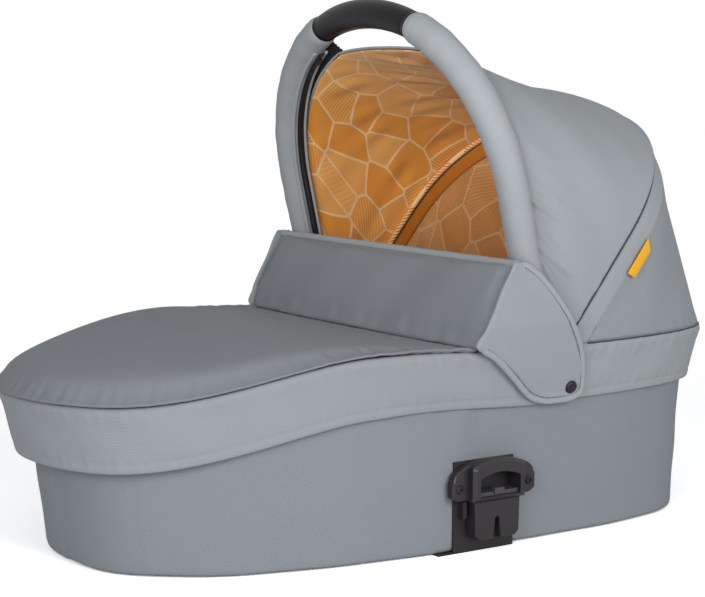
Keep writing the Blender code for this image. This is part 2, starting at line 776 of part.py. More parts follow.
def cover_fade(x):
    return COVER_FADE_SHARE + (1 - COVER_FADE_SHARE) * ease((back_x - x) / COVER_FADE_RUN)


rows = []
for scale, crown in COVER_RING_SHARES:
    rows.append([Vector((middle_x + (p.x - middle_x) * scale, p.y * scale,
                         seam_z(middle_x + (p.x - middle_x) * scale)
                         + COVER_CROWN * crown * cover_fade(middle_x + (p.x - middle_x) * scale)))
                 for p in loop])
rows.reverse()
cover = link("cover_top", grid_mesh("cover_top", rows, closed=True, cap=True))
solidify(cover, COVER_THICKNESS)
settle(cover)
for v in cover.data.vertices:
    v.co.z = max(v.co.z, seam_z(v.co.x) - COVER_THICKNESS + GAP * 3)
outward_normals(cover)
finish(cover, DARK_GREY, 0.9)


# Wind flap
FLAP_COLUMNS = 17
FLAP_LEVEL_SHARES = (0.0, 0.14, 0.34, 0.55, 0.75, 0.91, 1.0)
flap_low_z = seam_z(FLAP_BASE_X - FLAP_BULGE) + FLAP_FOOT_CLEAR
flap_lean = (FLAP_TOP_X - FLAP_BASE_X) / (FLAP_TOP_Z - SEAM_Z_HEAD)
flap_up = Vector((flap_lean, 0, 1)).normalized()
flap_back = Vector((1, 0, -flap_lean)).normalized()


def flap_x(z):
    return FLAP_BASE_X + flap_lean * (z - SEAM_Z_HEAD)


def band_y(z, drop, lower):
    """Outer face of a band at height z; lower is the drop of its top edge."""
    deep = (SEAM_Z_HEAD - GAP - lower - z) / (drop - lower)
    tuck = 1.0
    for (d0, t0), (d1, t1) in zip(BAND_LEVEL_SHARES, BAND_LEVEL_SHARES[1:]):
        if d0 <= deep <= d1:
            tuck = 1 - (t0 + (t1 - t0) * (deep - d0) / (d1 - d0))
    return RIM_HALF_WIDTH - BAND_TUCK * tuck


WING_HUG = 0.0012               # the wing's lower part over the band
WING_LOW_SHARE = -0.04


def wing_y(z):
    """Inner face of the wing: over the bow above, close to the band below."""
    low = band_y(STUD_Z, BAND_DROP_MIDDLE, COVER_THICKNESS) + WING_HUG
    share = (z - STUD_Z) / (WING_BEND_Z - STUD_Z)
    return low + (WING_UPPER_Y - low) * min(max(share, WING_LOW_SHARE), 1.0)


front, rear = [], []
for level in FLAP_LEVEL_SHARES:
    z = flap_low_z + (FLAP_TOP_Z - flap_low_z) * level
    row_front, row_rear = [], []
    half = min(FLAP_HALF_WIDTH, wing_y(z - FLAP_THICKNESS * 0.6) - WING_UPPER_Y + FLAP_HALF_WIDTH)
    for i in range(FLAP_COLUMNS):
        across = -1 + 2 * i / (FLAP_COLUMNS - 1)
        plump = (1 - abs(2 * level - 1) ** 4) * (1 - abs(across) ** 10)
        depth = FLAP_EDGE_THICKNESS + (FLAP_THICKNESS - FLAP_EDGE_THICKNESS) * plump
        point = Vector((flap_x(z) - FLAP_BULGE * (1 - level) * (1 - across * across), half * across, z))
        row_front.append(point + flap_back * (FLAP_THICKNESS - depth) * FLAP_REST_SHARE)
        row_rear.append(point + flap_back * (FLAP_THICKNESS - (FLAP_THICKNESS - depth) * (1 - FLAP_REST_SHARE)))
        for low in (row_front[-1], row_rear[-1]):
            if low.z < flap_low_z:
                low += flap_up * ((flap_low_z - low.z) / flap_up.z)
    front.append(row_front)
    rear.append(row_rear)
wide = FLAP_COLUMNS
tall = len(front)
verts = [p for row in front + rear for p in row]
faces = []
for i in range(tall - 1):
    for j in range(wide - 1):
        a = i * wide + j
        faces.append((a, a + 1, a + 1 + wide, a + wide))
        b = (tall + i) * wide + j
        faces.append((b, b + wide, b + 1 + wide, b + 1))
for j in range(wide - 1):
    a, b = j, tall * wide + j
    faces.append((a, b, b + 1, a + 1))
    a, b = (tall - 1) * wide + j, (2 * tall - 1) * wide + j
    faces.append((a, a + 1, b + 1, b))
for i in range(tall - 1):
    a, b = i * wide, (tall + i) * wide
    faces.append((a, a + wide, b + wide, b))
    a, b = i * wide + wide - 1, (tall + i) * wide + wide - 1
    faces.append((a, b, b + wide, a + wide))
mesh = bpy.data.meshes.new("wind_flap")
mesh.from_pydata([tuple(v) for v in verts], [], faces)
flap = link("wind_flap", mesh)
outward_normals(flap)
FLAP_AXIS = (flap_x(flap_low_z) - FLAP_BULGE, 0.0, flap_low_z)
set_origin(flap, FLAP_AXIS)
finish(flap, DARK_GREY, 0.9)


# The wing's front and rear edges by height, as shares of its reach. Above
# the seam the front edge follows the flap.
WING_LOW_Z = 0.1535
WING_REACH = 0.154
WING_SWEEP_SHARE = 0.62         # where it tucks in, it also swings back by this
WING_EDGE_SHARES = ((0.00, 0.656, 0.883), (0.03, 0.545, 0.972), (0.08, 0.468, 0.997), (0.16, 0.390, 1.0),
                    (0.26, 0.286, 0.994), (0.36, 0.169, 0.974), (0.44, None, 0.942), (0.56, None, 0.877),
                    (0.70, None, 0.770), (0.83, None, 0.648), (0.92, None, 0.545), (0.985, None, 0.440))


def wing_rows():
    rows = []
    for level, front_share, rear_share in WING_EDGE_SHARES:
        z = WING_LOW_Z + (FLAP_TOP_Z - WING_LOW_Z) * level
        x0 = flap_x(z) if front_share is None else FLAP_BASE_X + WING_REACH * front_share
        x1 = FLAP_BASE_X + WING_REACH * rear_share
        sweep = (WING_UPPER_Y - wing_y(z)) * WING_SWEEP_SHARE
        rows.append([Vector((x0 + sweep + (x1 - x0) * i / 5, -wing_y(z), z)) for i in range(6)])
    return rows


wing = link("wing_right", grid_mesh("wing_right", wing_rows()))
solidify(wing, WING_THICKNESS, 1.0)
settle(wing)
outward_normals(wing)
WING_AXIS = (flap_x(SEAM_Z_HEAD), -WING_UPPER_Y, SEAM_Z_HEAD)
set_origin(wing, WING_AXIS)
finish(wing, LIGHT_GREY, 0.9)
finish(other_side(wing, "wing_left"), LIGHT_GREY, 0.9)

slope = math.atan2(WING_UPPER_Y - wing_y(STUD_Z), WING_BEND_Z - STUD_Z)
stud_y = wing_y(STUD_Z) + WING_THICKNESS / math.cos(slope) + STUD_CLEAR + GAP
stud = turned("stud_cap_right", [(0, STUD_THICKNESS), (STUD_RADIUS * 0.62, STUD_THICKNESS * 0.94),
                                 (STUD_RADIUS * 0.92, STUD_THICKNESS * 0.62), (STUD_RADIUS, STUD_THICKNESS * 0.25),
                                 (STUD_RADIUS, 0), (0, 0)], 24)
settle(stud)
outward_normals(stud)
stud.data.transform(Matrix.Translation((STUD_X, -stud_y, STUD_Z))
                    @ Matrix.Rotation(math.radians(90) + slope, 4, "X"))
set_origin(stud, WING_AXIS)
finish(stud, (68, 66, 73), 0.4)
finish(other_side(stud, "stud_cap_left"), (68, 66, 73), 0.4)


# Hood hub
HUB_BASE_Y = max(RIM_HALF_WIDTH - TUB_RIM_TUCK, wall_half(HINGE_X, HINGE_Z - HUB_FOOT_DROP)) + GAP
hub_base_out = HUB_BASE_Y + HUB_BASE_THICKNESS
hoop_plate_in = hub_base_out + GAP
hoop_plate_out = hoop_plate_in + HUB_PLATE_THICKNESS
bow_plate_in = hoop_plate_out + GAP
bow_plate_out = bow_plate_in + BOW_PLATE_THICKNESS
cap_in = bow_plate_out + GAP
pin_end = cap_in + HUB_CAP_THICKNESS * 0.7

HUB_FOOT_HALF = HUB_RADIUS
hub = outline_solid("hood_hub_right", [[(HINGE_X + HUB_FOOT_HALF * math.cos(math.pi * i / 12),
                                        HINGE_Z + HUB_FOOT_HALF * math.sin(math.pi * i / 12)) for i in range(13)]
                                       + [(HINGE_X - HUB_FOOT_HALF, HINGE_Z - HUB_FOOT_DROP),
                                          (HINGE_X + HUB_FOOT_HALF, HINGE_Z - HUB_FOOT_DROP)]], HUB_BASE_THICKNESS)
hub.data.transform(Matrix.Translation((0, -HUB_BASE_Y, 0)))
pin = disc("hub_pin", HUB_PIN_RADIUS, -pin_end, -HUB_BASE_Y - HUB_BASE_THICKNESS / 2, HINGE_X, HINGE_Z)
combine(hub, pin)
finish(hub, BLACK, 0.5)
finish(other_side(hub, "hood_hub_left"), BLACK, 0.5)

cap = turned("hub_cap_right", [(0, HUB_CAP_THICKNESS), (HUB_CAP_RADIUS * 0.8, HUB_CAP_THICKNESS),
                               (HUB_CAP_RADIUS, HUB_CAP_THICKNESS * 0.6), (HUB_CAP_RADIUS, 0),
                               (HUB_PIN_RADIUS + GAP, 0), (HUB_PIN_RADIUS + GAP, HUB_CAP_THICKNESS * 0.7 + GAP),
                               (0, HUB_CAP_THICKNESS * 0.7 + GAP)], 20)
settle(cap)
outward_normals(cap)
cap.data.transform(Matrix.Translation((HINGE_X, -cap_in, HINGE_Z)) @ Matrix.Rotation(math.radians(90), 4, "X"))
finish(cap, BLACK, 0.5)
finish(other_side(cap, "hub_cap_left"), BLACK, 0.5)


# Rear hoop
hoop_side = arch_side(HOOP_LEAN)
hoop_up = Vector((math.sin(math.radians(HOOP_LEAN)), 0, math.cos(math.radians(HOOP_LEAN))))
sleeve_in = HOOP_SLEEVE_THICKNESS
strip_lift = -(HOOP_SLEEVE_THICKNESS + STRIP_CLEAR + HOOP_STRIP_THICKNESS / 2)
hoop_shift = HOOP_SLEEVE_WIDTH / 2
HINGE = (HINGE_X, 0.0, HINGE_Z)


def hoop_eye(y_sign):
    """Eye plate on the hinge with an arm up to the hoop's strip."""
    foot = Vector((HOOP_BASE_X, 0, HINGE_Z)) + hoop_up * (HOOP_STRIP_START * 2) + hoop_side * hoop_shift
    half = HOOP_STRIP_WIDTH / 2
    corners = [(HINGE_X - half * 0.7, HINGE_Z + half), (foot.x - half, foot.z + half * 0.4),
               (foot.x + half * 0.8, foot.z - half * 0.8), (HINGE_X + half, HINGE_Z - half * 0.9)]
    arm = outline_solid("hoop_arm", [corners], HUB_PLATE_THICKNESS)
    arm.data.transform(Matrix.Translation((0, -hoop_plate_in, 0)))
    eye = disc("hoop_eye", HUB_RADIUS, -hoop_plate_out, -hoop_plate_in, HINGE_X, HINGE_Z)
    combine(eye, arm)
    bore = disc("hoop_bore", HUB_PIN_RADIUS + GAP, -hoop_plate_out - HUB_RADIUS, -hoop_plate_in + HUB_RADIUS,
                HINGE_X, HINGE_Z)
    combine(eye, bore, "DIFFERENCE")
    if y_sign > 0:
        eye.data.transform(Matrix.Scale(-1, 4, (0, 1, 0)))
        eye.data.flip_normals()
    return eye


hoop = strip("rear_hoop", hoop_arch(0.0, HOOP_STRIP_START), hoop_side, HOOP_STRIP_WIDTH, HOOP_STRIP_THICKNESS,
             strip_lift, hoop_shift, None, hoop_up)
combine(hoop, hoop_eye(-1))
combine(hoop, hoop_eye(1))
set_origin(hoop, HINGE)
finish(hoop, TAN, 0.8)

hoop_line = hoop_arch(0.0, HOOP_STRIP_START)
sleeve_run = HOOP_SLEEVE_START - HOOP_STRIP_START
sleeve_line = part_of(hoop_line, sleeve_run, line_length(hoop_line) - 2 * sleeve_run)
sleeve = strip("hoop_sleeve", sleeve_line, hoop_side, HOOP_SLEEVE_WIDTH - 2 * GAP,
               HOOP_SLEEVE_THICKNESS, -HOOP_SLEEVE_THICKNESS / 2, hoop_shift, None, hoop_up)
set_origin(sleeve, HINGE)
finish(sleeve, GREY, 0.9)

piping_line = [p + out * (HOOP_PIPING_RADIUS + GAP) + hoop_side * (HOOP_PIPING_RADIUS + GAP)
               for p, out in zip(sleeve_line, outward(sleeve_line, hoop_side))]
piping = tube("hoop_piping", piping_line, hoop_side, [HOOP_PIPING_RADIUS] * len(piping_line), 6)
set_origin(piping, HINGE)
finish(piping, (60, 63, 68), 0.8)

label_line = part_of(hoop_arch(0.0, 0.0, 81), LABEL_START, LABEL_LENGTH)
label = strip("label_tag", resample(label_line, 5), hoop_side, LABEL_WIDTH, LABEL_THICKNESS,
              LABEL_THICKNESS / 2 + LABEL_LIFT, HOOP_SLEEVE_WIDTH + LABEL_WIDTH / 2 - LABEL_WIDTH * 0.25)
set_origin(label, HINGE)
finish(label, (232, 170, 60), 0.7)


# Front bow
bow_side = arch_side(BOW_LEAN)
bow_up = Vector((math.sin(math.radians(BOW_LEAN)), 0, math.cos(math.radians(BOW_LEAN))))


def bow_eye(y_sign):
    """Eye plate on the hinge with an arm forward to the bow's tube."""
    half = BOW_ARM_HEIGHT / 2
    low = Vector((BOW_BASE_X, 0, HINGE_Z)) + bow_up * BOW_TUBE_START
    high = Vector((BOW_BASE_X, 0, HINGE_Z)) + bow_up * (BOW_SLEEVE_START - half)
    corners = [(HINGE_X, HINGE_Z - half), (HINGE_X, HINGE_Z + half * 1.6), (high.x + half, high.z),
               (high.x - half, high.z), (low.x - half, low.z - half)]
    arm = outline_solid("bow_arm", [corners], BOW_PLATE_THICKNESS)
    arm.data.transform(Matrix.Translation((0, -bow_plate_in, 0)))
    eye = disc("bow_eye", HUB_RADIUS, -bow_plate_out, -bow_plate_in, HINGE_X, HINGE_Z)
    combine(eye, arm)
    bore = disc("bow_bore", HUB_PIN_RADIUS + GAP, -bow_plate_out - HUB_RADIUS, -bow_plate_in + HUB_RADIUS,
                HINGE_X, HINGE_Z)
    combine(eye, bore, "DIFFERENCE")
    if y_sign > 0:
        eye.data.transform(Matrix.Scale(-1, 4, (0, 1, 0)))
        eye.data.flip_normals()
    return eye


bow_line = bow_arch(0.0, BOW_TUBE_START, 35)
bow = tube("bow_tube", bow_line, bow_side, [BOW_TUBE_RADIUS] * len(bow_line), BOW_SIDES)
combine(bow, bow_eye(-1))
combine(bow, bow_eye(1))
set_origin(bow, HINGE)
finish(bow, STEEL, 0.35, 1.0)

full = line_length(bow_line)
sleeve_length = full / 2 - GRIP_HALF_LENGTH - SLEEVE_GAP - (BOW_SLEEVE_START - BOW_TUBE_START)
sleeve_line = part_of(bow_line, BOW_SLEEVE_START - BOW_TUBE_START, sleeve_length)
bow_bore_radius = BOW_TUBE_RADIUS + BOW_BORE_CLEAR
last = len(sleeve_line) - 1
radii = [SLEEVE_RADIUS_LOW + (SLEEVE_RADIUS_HIGH - SLEEVE_RADIUS_LOW) * ease(1.5 * i / last) for i in range(last + 1)]
radii[-1] = SLEEVE_RADIUS_HIGH * 0.93
leg = hollow_tube("bow_sleeve_right", sleeve_line, bow_side, radii, bow_bore_radius, BOW_SIDES)
finish(leg, DARK_GREY, 0.9)
set_origin(leg, HINGE)
finish(other_side(leg, "bow_sleeve_left"), DARK_GREY, 0.9)

grip_line = part_of(bow_line, full / 2 - GRIP_HALF_LENGTH, 2 * GRIP_HALF_LENGTH)
last = len(grip_line) - 1
radii = [GRIP_RADIUS + GRIP_SWELL * math.sin(math.pi * i / last) for i in range(last + 1)]
grip = hollow_tube("handle_grip", grip_line, bow_side, radii, bow_bore_radius, BOW_SIDES)
set_origin(grip, HINGE)
finish(grip, BLACK, 0.45)
fine_line = bow_arch(0.0, BOW_TUBE_START, 241)


def zip_place(line, lift_in, lift_back):
    outs = outward(line, bow_side)
    return [p - out * lift_in + bow_side * lift_back for p, out in zip(line, outs)], outs


zip_radius = SLEEVE_RADIUS_HIGH + GAP + ZIP_THICKNESS
zip_line = resample(part_of(fine_line, ZIP_START, full / 2 - GRIP_HALF_LENGTH - ZIP_END_DROP - ZIP_START), 15)
placed, outs = zip_place(zip_line, zip_radius, ZIP_WIDTH * 0.25)
tape = strip("zip_tape_right", placed, bow_side, ZIP_WIDTH, ZIP_THICKNESS, 0.0, 0.0, outs)
finish(tape, (26, 26, 29), 0.7)
set_origin(tape, HINGE)
finish(other_side(tape, "zip_tape_left"), (26, 26, 29), 0.7)
slider_line = resample(part_of(fine_line, full / 2 - GRIP_HALF_LENGTH - ZIP_END_DROP - 2 * ZIP_SLIDER_LENGTH,
                               ZIP_SLIDER_LENGTH), 3)
placed, outs = zip_place(slider_line, zip_radius + ZIP_THICKNESS / 2 + GAP + ZIP_SLIDER_THICKNESS / 2,
                         ZIP_WIDTH * 0.25)
pull = strip("zip_slider_right", placed, bow_side, ZIP_WIDTH * 0.7, ZIP_SLIDER_THICKNESS, 0.0, 0.0, outs)
finish(pull, (90, 90, 95), 0.35, 1.0)
set_origin(pull, HINGE)
finish(other_side(pull, "zip_slider_left"), (90, 90, 95), 0.35, 1.0)


# Canopy
def fan(first, last, stations, sag):
    """Rows between two sections that turn about the hood's side.

    A section is (base_x, base_z, lean, [(along, across), ...]). sag is the
    dip at mid fan, at the top of the arch.
    """
    rows = []
    for k in stations:
        base = Vector((first[0] + (last[0] - first[0]) * k, 0, first[1] + (last[1] - first[1]) * k))
        lean = math.radians(first[2] + (last[2] - first[2]) * k)
        up = Vector((math.sin(lean), 0, math.cos(lean)))
        top = max(s for s, _ in first[3])
        row = []
        for (s0, y0), (s1, y1) in zip(first[3], last[3]):
            s = s0 + (s1 - s0) * k
            y = y0 + (y1 - y0) * k
            dip = sag * 4 * k * (1 - k) * (max(s, 0.0) / top) ** 2
            row.append(base + up * (s - dip) + Vector((0, y, 0)))
        rows.append(row)
    return rows


def in_space(section):
    base_x, base_z, lean, points = section
    up = Vector((math.sin(math.radians(lean)), 0, math.cos(math.radians(lean))))
    return [Vector((base_x, y, base_z)) + up * s for s, y in points]


def drape(first, last, stations, sag):
    """Rows of a panel stretched straight from one section to the other."""
    rows = []
    starts, ends = in_space(first), in_space(last)
    for k in stations:
        row = []
        for a, b in zip(starts, ends):
            middle = Vector((first[0], 0, first[1]))
            p = a.lerp(b, k)
            low = ease((p.z - SEAM_Z_HEAD) / DIP_FADE_HEIGHT)
            row.append(p + (middle - p).normalized() * sag * low * 4 * k * (1 - k))
        rows.append(row)
    return rows


def bow_section(inset, clear):
    """The canopy's front edge behind the bow, scooped at the hand opening."""
    grow = -inset
    line = arch(0.0, 0.0, 0.0, HOOP_HALF_WIDTH + grow, BOW_SLEEVE_START, BOW_STRAIGHT, CANOPY_FRONT_REACH + grow,
                BOW_POWER_SHARE)
    points = []
    for p in line:
        scoop = CANOPY_SCOOP * max(0.0, 1 - (p.y / CANOPY_SCOOP_HALF_WIDTH) ** 2)
        points.append((p.z - scoop, p.y))
    shift = clear / math.cos(math.radians(BOW_LEAN))
    return (BOW_BASE_X + shift, HINGE_Z, BOW_LEAN, points)


def hoop_section(inset, shift, start):
    lift = shift * math.tan(math.radians(HOOP_LEAN))
    line = arch(0.0, 0.0, 0.0, HOOP_HALF_WIDTH - inset, start + lift, HOOP_STRAIGHT, HOOP_REACH - inset,
                HOOP_POWER_SHARE)
    if shift > 0:
        up = Vector((0, 0, 1))
        line = [p + hoop_drop(out, shift, up) for p, out in zip(line, outward(line, Vector((1, 0, 0))))]
    return (HOOP_BASE_X + shift / math.cos(math.radians(HOOP_LEAN)), HINGE_Z, HOOP_LEAN,
            [(p.z - lift, p.y) for p in line])


def seam_section(base_x, inset, z):
    line = cut_line(inset, base_x, True, ARCH_COUNT)
    return (base_x, z, 90.0, [(p.x - base_x, p.y) for p in line])


def shell(name, rows, thickness, rgb, roughness=0.9):
    obj = link(name, grid_mesh(name, rows))
    solidify(obj, thickness)
    settle(obj)
    return finish(obj, rgb, roughness)


FRONT_STATION_SHARES = (0.0, 0.10, 0.24, 0.40, 0.56, 0.72, 0.87, 1.0)
REAR_STATION_SHARES = (0.0, 0.12, 0.28, 0.45, 0.62, 0.80, 1.0)
front_clear = SLEEVE_RADIUS_HIGH + GAP * 2
hoop_front = -GAP
hoop_rear = HOOP_SLEEVE_WIDTH + GAP
HOOD_FRONT_START = 0.004        # lower end of the front panel at the hoop
HOOD_REAR_START = 0.010

shell("canopy_front", fan(bow_section(0.0, front_clear), hoop_section(0.0, hoop_front, HOOD_FRONT_START),
                          FRONT_STATION_SHARES, CANOPY_SAG), CANOPY_THICKNESS, GREY)
rear_foot_z = SEAM_Z_HEAD + GAP * 3
rear_foot_x = (HOOP_BASE_X + hoop_rear * hoop_side.x
               + (rear_foot_z - HINGE_Z - hoop_rear * hoop_side.z) * math.tan(math.radians(HOOP_LEAN)))
shell("canopy_rear", drape(hoop_section(0.0, hoop_rear, HOOD_REAR_START),
                           seam_section(rear_foot_x, CANOPY_RIM_INSET, rear_foot_z), REAR_STATION_SHARES,
                           CANOPY_TUCK), CANOPY_THICKNESS, DARK_GREY)

lining_inset = CANOPY_THICKNESS + LINING_CLEAR
shell("lining_front", fan(bow_section(lining_inset, front_clear),
                          hoop_section(lining_inset, hoop_front, HOOD_FRONT_START + HUB_RADIUS),
                          FRONT_STATION_SHARES, CANOPY_SAG), LINING_THICKNESS, ORANGE)
shell("lining_rear", drape(hoop_section(lining_inset, hoop_rear, HOOD_REAR_START + HUB_RADIUS),
                           seam_section(rear_foot_x, CANOPY_RIM_INSET + lining_inset, SEAM_Z_HEAD + LINING_LIFT),
                           REAR_STATION_SHARES, CANOPY_TUCK), LINING_THICKNESS, DARK_ORANGE)


# Adapters
plate_in = max(BASE_HALF_WIDTH - TUB_EDGE_RADIUS * TUB_EDGE_SHARE, wall_half(ADAPTER_X, PLATE_TOP_Z)) + GAP
plate_out = plate_in + PLATE_THICKNESS
housing_in = plate_out + GAP
face_y = housing_in + BLOCK_DEPTH
ear_y = housing_in + EAR_DEPTH
flange_low = 0.0
plate_left = ADAPTER_X + PLATE_SHIFT - PLATE_HALF_WIDTH
plate_right = ADAPTER_X + PLATE_SHIFT + PLATE_HALF_WIDTH
plate = box("adapter_plate_right", (plate_left, -plate_out, flange_low), (plate_right, -plate_in, PLATE_TOP_Z))
flange = box("flange", (plate_left - FLANGE_OVERHANG, -plate_out - GAP, flange_low),
             (plate_right - FLANGE_SHORT, -plate_out + FLANGE_REACH, TRAY_HEIGHT))
combine(plate, flange)
rib_top = HOUSING_BOTTOM_Z - GAP * 6
for side in (-1, 1):
    rib_x = ADAPTER_X + side * (TONGUE_TOP_HALF + RIB_CLEAR)
    low_x, high_x = sorted((rib_x, rib_x + side * RIB_WIDTH))
    if high_x < plate_right:
        combine(plate, box("rib", (low_x, -plate_out - RIB_DEPTH, rib_top - RIB_HEIGHT),
                           (high_x, -plate_out + PLATE_THICKNESS / 2, rib_top)))
bore_radius = SCREW_SHANK_RADIUS + SCREW_HOLE_CLEAR

top_points = 12


def housing_top(half_width, shoulder_z, top_z):
    """The arch over the housing, from +X to -X."""
    line = []
    for i in range(top_points + 1):
        turn = math.pi * i / top_points
        line.append((ADAPTER_X + half_width * math.cos(turn),
                     shoulder_z + (top_z - shoulder_z) * math.sin(turn) ** ARCH_TOP_POWER))
    return line


left, right = ADAPTER_X - HOUSING_HALF_WIDTH, ADAPTER_X + HOUSING_HALF_WIDTH
ear_low = HOUSING_BOTTOM_Z + EAR_CHAMFER
notch = EAR_CHAMFER * 0.3
outline = [(left + EAR_CHAMFER * 1.6, HOUSING_BOTTOM_Z), (right - EAR_CHAMFER * 1.6, HOUSING_BOTTOM_Z),
           (right, ear_low), (right, HOUSING_EAR_TOP_Z - notch)]
outline += housing_top(HOUSING_HALF_WIDTH * HOUSING_SHOULDER_SHARE, HOUSING_EAR_TOP_Z, HOUSING_TOP_Z - HOUSING_EDGE)
outline += [(left, HOUSING_EAR_TOP_Z - notch), (left, ear_low)]
block_low = HOUSING_BOTTOM_Z - GAP * 3
block = [(ADAPTER_X - BLOCK_HALF_WIDTH, block_low), (ADAPTER_X + BLOCK_HALF_WIDTH, block_low)]
block += housing_top(BLOCK_HALF_WIDTH, HOUSING_TOP_Z - BLOCK_SHOULDER_DROP, HOUSING_TOP_Z)
opening = [(ADAPTER_X - OPENING_HALF_WIDTH, OPENING_BOTTOM_Z), (ADAPTER_X - OPENING_HALF_WIDTH, OPENING_TOP_Z)]
opening += [(ADAPTER_X + OPENING_HALF_WIDTH * (-1 + i / 3), OPENING_TOP_Z + OPENING_RISE * (1 - (1 - i / 3) ** 2))
            for i in range(1, 6)]
opening += [(ADAPTER_X + OPENING_HALF_WIDTH, OPENING_TOP_Z), (ADAPTER_X + OPENING_HALF_WIDTH, OPENING_BOTTOM_Z)]
housing = outline_solid("adapter_housing_right", [outline], EAR_DEPTH, HOUSING_EDGE)
front_block = outline_solid("front_block", [block], BLOCK_DEPTH - EAR_DEPTH / 2, BLOCK_EDGE)
front_block.data.transform(Matrix.Translation((0, -EAR_DEPTH / 2, 0)))
combine(housing, front_block)
housing.data.transform(Matrix.Translation((0, -housing_in, 0)))
hole = outline_solid("finger_opening", [opening], BLOCK_DEPTH * 2)
hole.data.transform(Matrix.Translation((0, -housing_in + BLOCK_DEPTH / 2, 0)))
combine(housing, hole, "DIFFERENCE")
screw_seat = ear_y - SCREW_HEAD_HEIGHT * 0.4
for i, side in enumerate((-1, 1)):
    x = ADAPTER_X + side * SCREW_HALF_SPAN
    combine(housing, disc("seat", SCREW_HEAD_RADIUS + SCREW_HOLE_CLEAR, -ear_y - SCREW_HEAD_HEIGHT,
                          -screw_seat + GAP, x, SCREW_Z, 20), "DIFFERENCE")
    combine(housing, disc("hole", bore_radius, -screw_seat - GAP, -screw_seat + SCREW_SHANK_LENGTH, x, SCREW_Z, 16),
            "DIFFERENCE")
finish(housing, BLACK, 0.42)
finish(other_side(housing, "adapter_housing_left"), BLACK, 0.42)
finish(plate, (30, 29, 33), 0.5)
finish(other_side(plate, "adapter_plate_left"), (30, 29, 33), 0.5)

for i, side in enumerate((-1, 1)):
    h = SCREW_HEAD_HEIGHT
    screw = turned("adapter_screw_right_%d" % (i + 1),
                   [(0, h * 0.4), (SCREW_SOCKET_RADIUS, h * 0.4), (SCREW_SOCKET_RADIUS, h),
                    (SCREW_HEAD_RADIUS * 0.8, h), (SCREW_HEAD_RADIUS, h * 0.6), (SCREW_HEAD_RADIUS, 0),
                    (SCREW_SHANK_RADIUS, 0), (SCREW_SHANK_RADIUS, -SCREW_SHANK_LENGTH + GAP * 2),
                    (0, -SCREW_SHANK_LENGTH + GAP * 2)], 14)
    settle(screw)
    outward_normals(screw)
    screw.data.transform(Matrix.Translation((ADAPTER_X + side * SCREW_HALF_SPAN, -screw_seat, SCREW_Z))
                         @ Matrix.Rotation(math.radians(90), 4, "X"))
    finish(screw, (48, 47, 51), 0.35, 0.6)
    finish(other_side(screw, "adapter_screw_left_%d" % (i + 1)), (48, 47, 51), 0.35, 0.6)

tongue_top = block_low - GAP
slot_top = TONGUE_BOTTOM_Z + SLOT_HEIGHT
outline = [(ADAPTER_X - TONGUE_BOTTOM_HALF + TONGUE_CHAMFER, TONGUE_BOTTOM_Z),
           (ADAPTER_X - SLOT_BOTTOM_HALF, TONGUE_BOTTOM_Z), (ADAPTER_X - SLOT_TOP_HALF, slot_top - SLOT_TOP_HALF),
           (ADAPTER_X, slot_top), (ADAPTER_X + SLOT_TOP_HALF, slot_top - SLOT_TOP_HALF),
           (ADAPTER_X + SLOT_BOTTOM_HALF, TONGUE_BOTTOM_Z),
           (ADAPTER_X + TONGUE_BOTTOM_HALF - TONGUE_CHAMFER, TONGUE_BOTTOM_Z),
           (ADAPTER_X + TONGUE_BOTTOM_HALF, TONGUE_BOTTOM_Z + TONGUE_CHAMFER),
           (ADAPTER_X + TONGUE_TOP_HALF, tongue_top), (ADAPTER_X - TONGUE_TOP_HALF, tongue_top),
           (ADAPTER_X - TONGUE_BOTTOM_HALF, TONGUE_BOTTOM_Z + TONGUE_CHAMFER)]
tongue = outline_solid("adapter_tongue_right", [outline], TONGUE_DEPTH, HOUSING_EDGE * 0.7)
tongue.data.transform(Matrix.Translation((0, -housing_in, 0)))
finish(tongue, (46, 43, 49), 0.45)
finish(other_side(tongue, "adapter_tongue_left"), (46, 43, 49), 0.45)

bm = bmesh.new()
bmesh.ops.create_cone(bm, cap_ends=True, segments=14, radius1=PIN_RADIUS, radius2=PIN_RADIUS, depth=PIN_HEIGHT)
bmesh.ops.translate(bm, verts=bm.verts, vec=(ADAPTER_X, -(housing_in + PIN_RADIUS), TONGUE_BOTTOM_Z + PIN_HEIGHT / 2))
mesh = bpy.data.meshes.new("latch_pin_right")
bm.to_mesh(mesh)
bm.free()
latch = link("latch_pin_right", mesh)
finish(latch, (205, 206, 208), 0.25, 1.0)
finish(other_side(latch, "latch_pin_left"), (205, 206, 208), 0.25, 1.0)

# The release bar stands on the opening's lower edge and slides up.
bar_low = OPENING_BOTTOM_Z + GAP
bar = box("release_slider_right",
          (ADAPTER_X - OPENING_HALF_WIDTH + SLIDER_SIDE_CLEAR, -face_y + SLIDER_RECESS, bar_low),
          (ADAPTER_X + OPENING_HALF_WIDTH - SLIDER_SIDE_CLEAR, -housing_in - SLIDER_BACK_CLEAR,
           bar_low + SLIDER_BAR_HEIGHT))
clip = box("clip", (ADAPTER_X - SLIDER_CLIP_HALF, -face_y + SLIDER_RECESS / 2, bar_low + SLIDER_BAR_HEIGHT / 2),
           (ADAPTER_X + SLIDER_CLIP_HALF, -face_y + SLIDER_RECESS + SLIDER_BAR_HEIGHT,
            bar_low + SLIDER_BAR_HEIGHT + SLIDER_CLIP_HEIGHT))
combine(bar, clip)
finish(bar, (58, 56, 62), 0.4)
finish(other_side(bar, "release_slider_left"), (58, 56, 62), 0.4)

